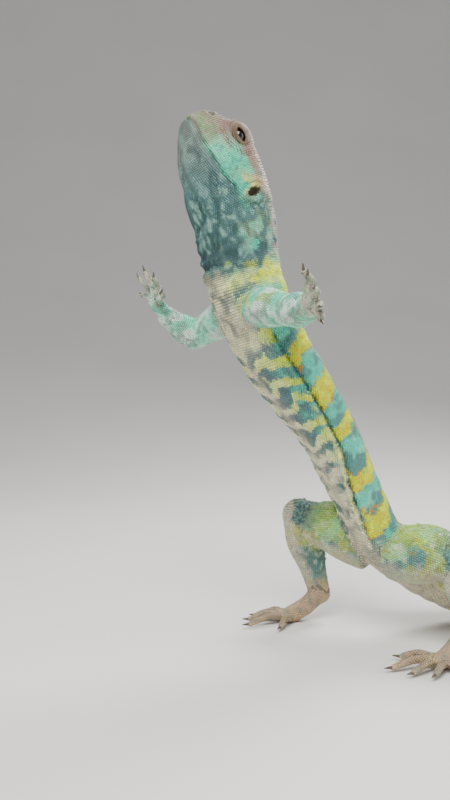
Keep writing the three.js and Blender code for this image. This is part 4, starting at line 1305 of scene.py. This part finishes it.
# Some scales of the thighs and shins stand up as tubercles, and so do lobes at the front of the ear.
tall = (zone == LEG_ZONE) & (turn_at > -0.4) & (s_at < 58) & (draw.random(len(at)) < 0.05)
lobes = on_head & (ear_gap > 0.85) & (ear_gap < 1.35) & (back_at < EAR_MARK[0])
raised = 1 + 0.55 * (tall | lobes)
on_trunk = on_body & (s_at >= TRUNK_FROM) & (s_at < TAIL_FROM)
upper_side = turn_at >= 0.1
limb_at = kind_of(grown)
groups = {
    "coat_head": on_body & (s_at < HEAD_LENGTH),
    "coat_neck": on_body & (s_at >= HEAD_LENGTH) & (s_at < TRUNK_FROM),
    "coat_back": on_trunk & upper_side,
    "coat_flank": on_trunk & ~upper_side,
    "coat_tail": on_body & (s_at >= TAIL_FROM),
    "coat_arms": (limb_at == 1) | (limb_at == 2),
    "coat_leg_left": limb_at == 3,
    "coat_leg_right": limb_at == 4,
}
for name, members in groups.items():
    m = np.flatnonzero(keep & members)
    length = size[m] * raised[m] * (1.13 + 0.05 * jitter[m, 1])
    width = size[m] * raised[m] * (1.11 + 0.05 * jitter[m, 2])
    height = size[m] * raised[m] ** 2 * ZONES[zone[m], 1] * (1 + 0.14 * jitter[m, 3])
    points, faces, each = domes(at[m], out[m], back[m], across[m], length, width, height, 0.2)
    points[:, 2] = np.maximum(points[:, 2], 0.0)
    where = {key: value[m] for key, value in grown.items()}
    add_coat(name, points, faces, each, where, np.repeat(scale_paint[m], each, 0))

# Eyes. A dark round eye, wet and glossy, sits deep between scaly lids on each side of the head. The ball
# is a sphere with a low cornea, brown round a black pupil.
EYE_RINGS, EYE_SIDES = 40, 48
LID_TURNS, LID_STEPS = 96, 14
# painted shade: the lids' skin, under their rows of scales, is darkened by this share
LID_SHADE = 0.6

# Rows of scales on the lids: place from the edge of the opening, number and width.
LID_ROWS = ((0.05, 26, 0.62), (0.17, 30, 0.66), (0.31, 34, 0.72), (0.46, 38, 0.78), (0.6, 42, 0.8))


def eye_material():
    """A dark brown iris round a black pupil, under a clear wet coat: a ramp by the distance from the
    pupil's middle."""
    material, tree, shader = new_material("wet_eye")
    gaze = node(tree, "ShaderNodeAttribute", dict(attribute_name="gaze")).outputs["Fac"]
    ramp = node(tree, "ShaderNodeValToRGB", Fac=gaze)
    stops = ((0.0, "#040303"), (0.32, "#0a0605"), (0.37, "#4a2814"), (0.52, "#2c160d"), (0.62, "#120b09"))
    while len(ramp.color_ramp.elements) < len(stops):
        ramp.color_ramp.elements.new(0.5)
    for element, (place, code) in zip(ramp.color_ramp.elements, stops):
        element.position = place
        element.color = (*colour(code), 1.0)
    join(tree, shader, Base_Color=ramp.outputs["Color"], Roughness=0.12)
    join(tree, shader, Coat_Weight=0.55, Coat_Roughness=0.06)
    return material


def lid_points(centre, outwards, turn, place, inside):
    """Points of the lids by their turn about the eye, place from the edge of the opening (0) outwards to the
    rim sunk in the skin (1), and side: 0 on the outer face, 1 on the inner one. The opening is an almond."""
    almond = np.abs(np.sin(turn)) ** (0.3 * (1 - place))
    x = np.cos(turn) * (2.7 + 3.4 * place)
    y = np.sin(turn) * (1.2 + 3.5 * place) * almond + 0.1
    brow = 0.35 * np.sin(turn).clip(0) * near(place, 0.3, 0.3)
    height = 3.78 + brow + 0.35 * np.sin(np.pi * np.minimum(place * 1.8, 1)) - 2.4 * place**2.4 - 0.8 * inside
    x, y, height = np.broadcast_arrays(x, y, height - 0.04 * x**2)
    return centre + x[..., None] * HEAD_BACK + y[..., None] * HEAD_UP + height[..., None] * outwards


def outward_faces(points, faces):
    """The faces turned so that the whole encloses a positive volume. In a turned triangle the repeated corner
    no longer stands last, so mesh_from takes it for a faulty square and drops it: those ends stay open."""
    p = points[faces[:, :3]]
    volume = np.einsum("ij,ij->i", p[:, 0], np.cross(p[:, 1], p[:, 2])).sum()
    return faces if volume > 0 else faces[:, [0, 3, 2, 1]]


eye_finish = eye_material()
for side, label in ((1, "left"), (-1, "right")):
    centre = in_head(EYE_PLACE[0], EYE_PLACE[1], EYE_PLACE[2] * side)
    outwards = np.array([0.0, -side, 0.0])
    lat = np.linspace(0, np.pi, EYE_RINGS + 1)[1:-1]
    lon = np.linspace(0, 2 * np.pi, EYE_SIDES, endpoint=False) * side
    radius = EYE_RADIUS * (1 + 0.05 * near(lat, 0, 0.5))[:, None]
    rings = centre + globe(lat, lon, [radius] * 3) @ np.stack([HEAD_BACK, HEAD_UP, outwards])
    points, faces = loft(rings, centre + outwards * EYE_RADIUS * 1.05, centre - outwards * EYE_RADIUS)
    # The right ball's triangles at its poles are dropped too, which leaves two holes half a millimetre wide.
    faces = faces[:, ::-1] if side < 0 else faces
    faces = np.where(faces[:, :1] == faces[:, 1:2], np.roll(faces, -1, 1), faces)
    mesh = mesh_from("eye_" + label, points, faces)
    gaze = mesh.attributes.new("gaze", "FLOAT", "POINT")
    gaze.data.foreach_set("value", np.r_[0, np.repeat(lat / np.pi * 2, EYE_SIDES), 2].astype(np.float32))
    add_piece("eyeball_" + label, mesh, eye_finish, ["eye_" + label])

    # Lids: a thick rim round an almond opening, its profile carried round the eye and closed on itself.
    # Five rows of tiny scales lie on them, the first along their edge.
    turn = np.linspace(0, 2 * np.pi, LID_TURNS, endpoint=False)
    step = np.linspace(0, 1, LID_STEPS)
    inside = np.repeat([0.0, 1.0], LID_STEPS)
    outline = np.r_[step, step[::-1]]
    points = lid_points(centre, outwards, turn[:, None], outline[None], inside[None]).reshape(-1, 3)
    faces = outward_faces(points, walls(LID_TURNS + 1, 2 * LID_STEPS) % len(points))
    mesh = mesh_from("lids_" + label, points, faces)
    # Painted shade: the lids' skin is painted darker where their scales shade it.
    add_paint(mesh, markings(points, places_on_body(points)) * LID_SHADE)
    add_piece("lids_" + label, mesh, skin_finish)
    rows = []
    for number, (place, count, wide) in enumerate(LID_ROWS):
        around = (np.arange(count) + 0.5 * (number % 2)) * 2 * np.pi / count
        places = ((around, place), (around + 0.02, place), (around, place + 0.03))
        spot, ahead, outer = (lid_points(centre, outwards, t, np.full(count, p), 0.0) for t, p in places)
        normal = unit(np.cross(outer - spot, ahead - spot))
        normal *= np.sign((normal @ outwards))[:, None]
        rows.append(np.hstack([spot, normal, unit(outer - spot), np.full((count, 1), wide)]))
    root, normal, out_ward, wide = np.split(np.vstack(rows), [3, 6, 9], axis=1)
    wide = wide[:, 0]
    beside = np.cross(normal, out_ward)
    points, faces, each = domes(root, normal, out_ward, beside, wide, wide, wide * 0.34, 0.0)
    where = places_on_body(root)
    paint = np.repeat(markings(root, where), each, 0)
    add_coat("lid_scales_" + label, points, outward_faces(points, faces), each, where, paint)

# Spines. Each whorl of the tail ends in a ring of horny spines that point back, longest low on the flanks.
# They are curved six-sided cones, open at both ends, with their roots in the skin.
SPINE_RINGS, SPINE_SIDES = 4, 6
SPINE_SPACING = 2.7
SPINE_RADIUS = 1.45
SPINE_ARC = np.radians(122)  # how far round from the back they stand, on each side


def cones(root, direction, bend, length, radius, rings=SPINE_RINGS, sides=SPINE_SIDES):
    """Cones that bend: each ring lies further along the direction and towards the bend by the square of that
    share, and shrinks towards a point. Where outward_faces turns them, they end open at their last ring."""
    share = np.linspace(0, 1, rings + 1)[:-1]
    side = unit(np.cross(direction, bend))
    other = np.cross(direction, side)
    centre = root[:, None] + direction[:, None] * ((share * 1.35 - 0.35) * length[:, None])[..., None]
    centre = centre + bend[:, None] * (share**2 * 0.22 * length[:, None])[..., None]
    turn = np.linspace(0, 2 * np.pi, sides, endpoint=False)[None, None, :, None]
    wide = (radius[:, None] * (1 - share) ** 0.8)[..., None, None]
    about = np.cos(turn) * side[:, None, None] + np.sin(turn) * other[:, None, None]
    ring = centre[:, :, None] + wide * about
    tip = root + direction * length[:, None] + bend * 0.22 * length[:, None]
    points = np.concatenate([ring.reshape(len(root), -1, 3), tip[:, None], centre[:, :1]], 1)
    each = rings * sides + 2
    top, bottom = fan((rings - 1) * sides, sides, each - 2), fan(0, sides, each - 1)[:, [1, 0, 2, 3]]
    faces = copies(np.vstack([walls(rings, sides), top, bottom]), len(root), each)
    points = points.reshape(-1, 3)
    points[:, 2] = np.maximum(points[:, 2], 0.0)
    return points, outward_faces(points, faces), each


def tail_spines():
    """Roots, directions, outward directions, lengths and radii of the whorls' spines."""
    rows = []
    random = np.random.default_rng(23)
    for start, end in zip(WHORLS[:-1], WHORLS[1:]):
        place = np.array([start + 0.74 * (end - start)])
        at, along, left, up = (v[0] for v in body_frame(place))
        half, above, below = (smooth_values(STATIONS[:, n], place)[0] for n in (3, 4, 5))
        size = 0.5 + 0.5 * min(half / 12, 1)
        count = max(5, int(round(SPINE_ARC * (half + above) / (SPINE_SPACING * size))))
        turn = -SPINE_ARC + 2 * SPINE_ARC * (np.arange(count) + 0.5) / count + random.normal(0, 0.02, count)
        wide, high = np.sin(turn), np.cos(turn)
        radial = wide[:, None] * half * left + (high * np.where(high > 0, above, below))[:, None] * up
        outwards = unit(wide[:, None] / half * left + (high / above)[:, None] * up)
        direction = unit(0.52 * outwards + 0.85 * along)
        length = (2.5 + 2.1 * np.abs(wide) ** 2) * size * random.uniform(0.88, 1.12, count)
        radius = np.full(count, SPINE_RADIUS * size)
        rows.append((at + radial * 0.985, direction, outwards, length, radius))
    return [np.concatenate(column) for column in zip(*rows)]


roots, *shape = tail_spines()
points, faces, each = cones(roots, *shape)
where = places_on_body(roots)
# Each ring of a spine is paler than the one before, up to its tip.
tipward = np.r_[np.repeat(np.arange(SPINE_RINGS) / SPINE_RINGS, SPINE_SIDES), 1, 0]
tipward = np.tile(tipward, len(roots))[:, None]
paint = np.repeat(markings(roots, where), each, 0)
paint = paint + (colour("#d8c9a0") - paint) * 0.55 * tipward
add_coat("tail_spines", points, faces, each, where, paint, smooth=False)


# Claws. Dark curved horn at the end of each finger and toe: a ten-sided cone, open at both ends, with its
# root in the digit.
def claw_material():
    """Dark horn with fine grain, semi-gloss."""
    material, tree, shader = new_material("claw_horn")
    place = node(tree, "ShaderNodeTexCoord").outputs["Object"]
    grain = node(tree, "ShaderNodeTexNoise", Vector=place, Scale=1 / (0.6 * MM), Detail=3.0)
    ramp = node(tree, "ShaderNodeValToRGB", Fac=grain.outputs["Fac"])
    ramp.color_ramp.elements[0].color = (*colour("#1d1813"), 1.0)
    ramp.color_ramp.elements[1].color = (*colour("#6a5a48"), 1.0)
    join(tree, shader, Base_Color=ramp.outputs["Color"], Roughness=0.35)
    return material


digits = [d for limb in LIMBS.values() for d in digits_of(limb)[2]]
tip, towards, up, radius = (np.array([d[key] for d in digits]) for key in ("tip", "towards", "up", "radius"))
root = tip - towards * 0.2 + up * radius[:, None] * 0.1
points, faces, _ = cones(root, unit(towards + up * 0.22), -up, radius * 2.5, radius * 0.55, rings=7, sides=10)
add_piece("claws", mesh_from("claws", points, faces), claw_material())

# Floor and light. A matt pale floor that runs up behind into a wall in one sweep, square to the camera, a
# large soft key lamp high in front, a weaker fill on the other side, a rim lamp behind and a light sky.
SWEEP_AT = 420.0
SWEEP_RADIUS = 1500.0
WALL_HEIGHT = 2600.0
STAGE_HALF = 6000.0
FLOOR_DROP = 0.05
LAMP_AIM = (-30, 0, 90)
LAMPS = (  # name, place, watts and width
    ("key", (-350, -420, 620), 10.0, 420),
    ("fill", (520, -380, 300), 3.0, 600),
    ("rim", (330, 300, 560), 5.0, 300),
)
SKY_STRENGTH = 0.5


def floor_material():
    """Matt pale paint with a trace of unevenness."""
    material, tree, shader = new_material("pale_floor_paint")
    place = node(tree, "ShaderNodeTexCoord").outputs["Object"]
    cloud = node(tree, "ShaderNodeTexNoise", Vector=place, Scale=6.0, Detail=2.0)
    ramp = node(tree, "ShaderNodeValToRGB", Fac=cloud.outputs["Fac"])
    ramp.color_ramp.elements[0].color = (*colour("#d9d6d0"), 1.0)
    ramp.color_ramp.elements[1].color = (*colour("#e2dfda"), 1.0)
    join(tree, shader, Base_Color=ramp.outputs["Color"], Roughness=0.85)
    return material


bend = np.linspace(0, np.pi / 2, 24)
curve = np.stack([SWEEP_AT + SWEEP_RADIUS * np.sin(bend), SWEEP_RADIUS * (1 - np.cos(bend))], 1)
profile = np.vstack([[-STAGE_HALF, 0.0], curve, [SWEEP_AT + SWEEP_RADIUS, WALL_HEIGHT]])
sideways = np.array([FORWARDS[1], -FORWARDS[0], 0.0])
edge = profile[:, :1] * FORWARDS + profile[:, 1:] * [0.0, 0.0, 1.0] - [0.0, 0.0, FLOOR_DROP]
count = len(profile)
i = np.arange(count - 1)
points = np.vstack([edge - STAGE_HALF * sideways, edge + STAGE_HALF * sideways])
floor = put("floor", mesh_from("floor", points, np.stack([i, i + count, i + count + 1, i + 1], 1)))
floor.data.materials.append(floor_material())

for label, place, power, size in LAMPS:
    data = bpy.data.lights.new(label, "AREA")
    data.energy = power
    data.size = size * MM
    lamp = put(label, data)
    lamp.location = Vector(place) * MM
    lamp.rotation_euler = facing(Vector(LAMP_AIM) * MM - lamp.location)
world = bpy.data.worlds.new("studio")
world.use_nodes = True
sky = (*colour("#e4e8ee"), 1.0)
join(world.node_tree, world.node_tree.nodes["Background"], Color=sky, Strength=SKY_STRENGTH)
bpy.context.scene.world = world
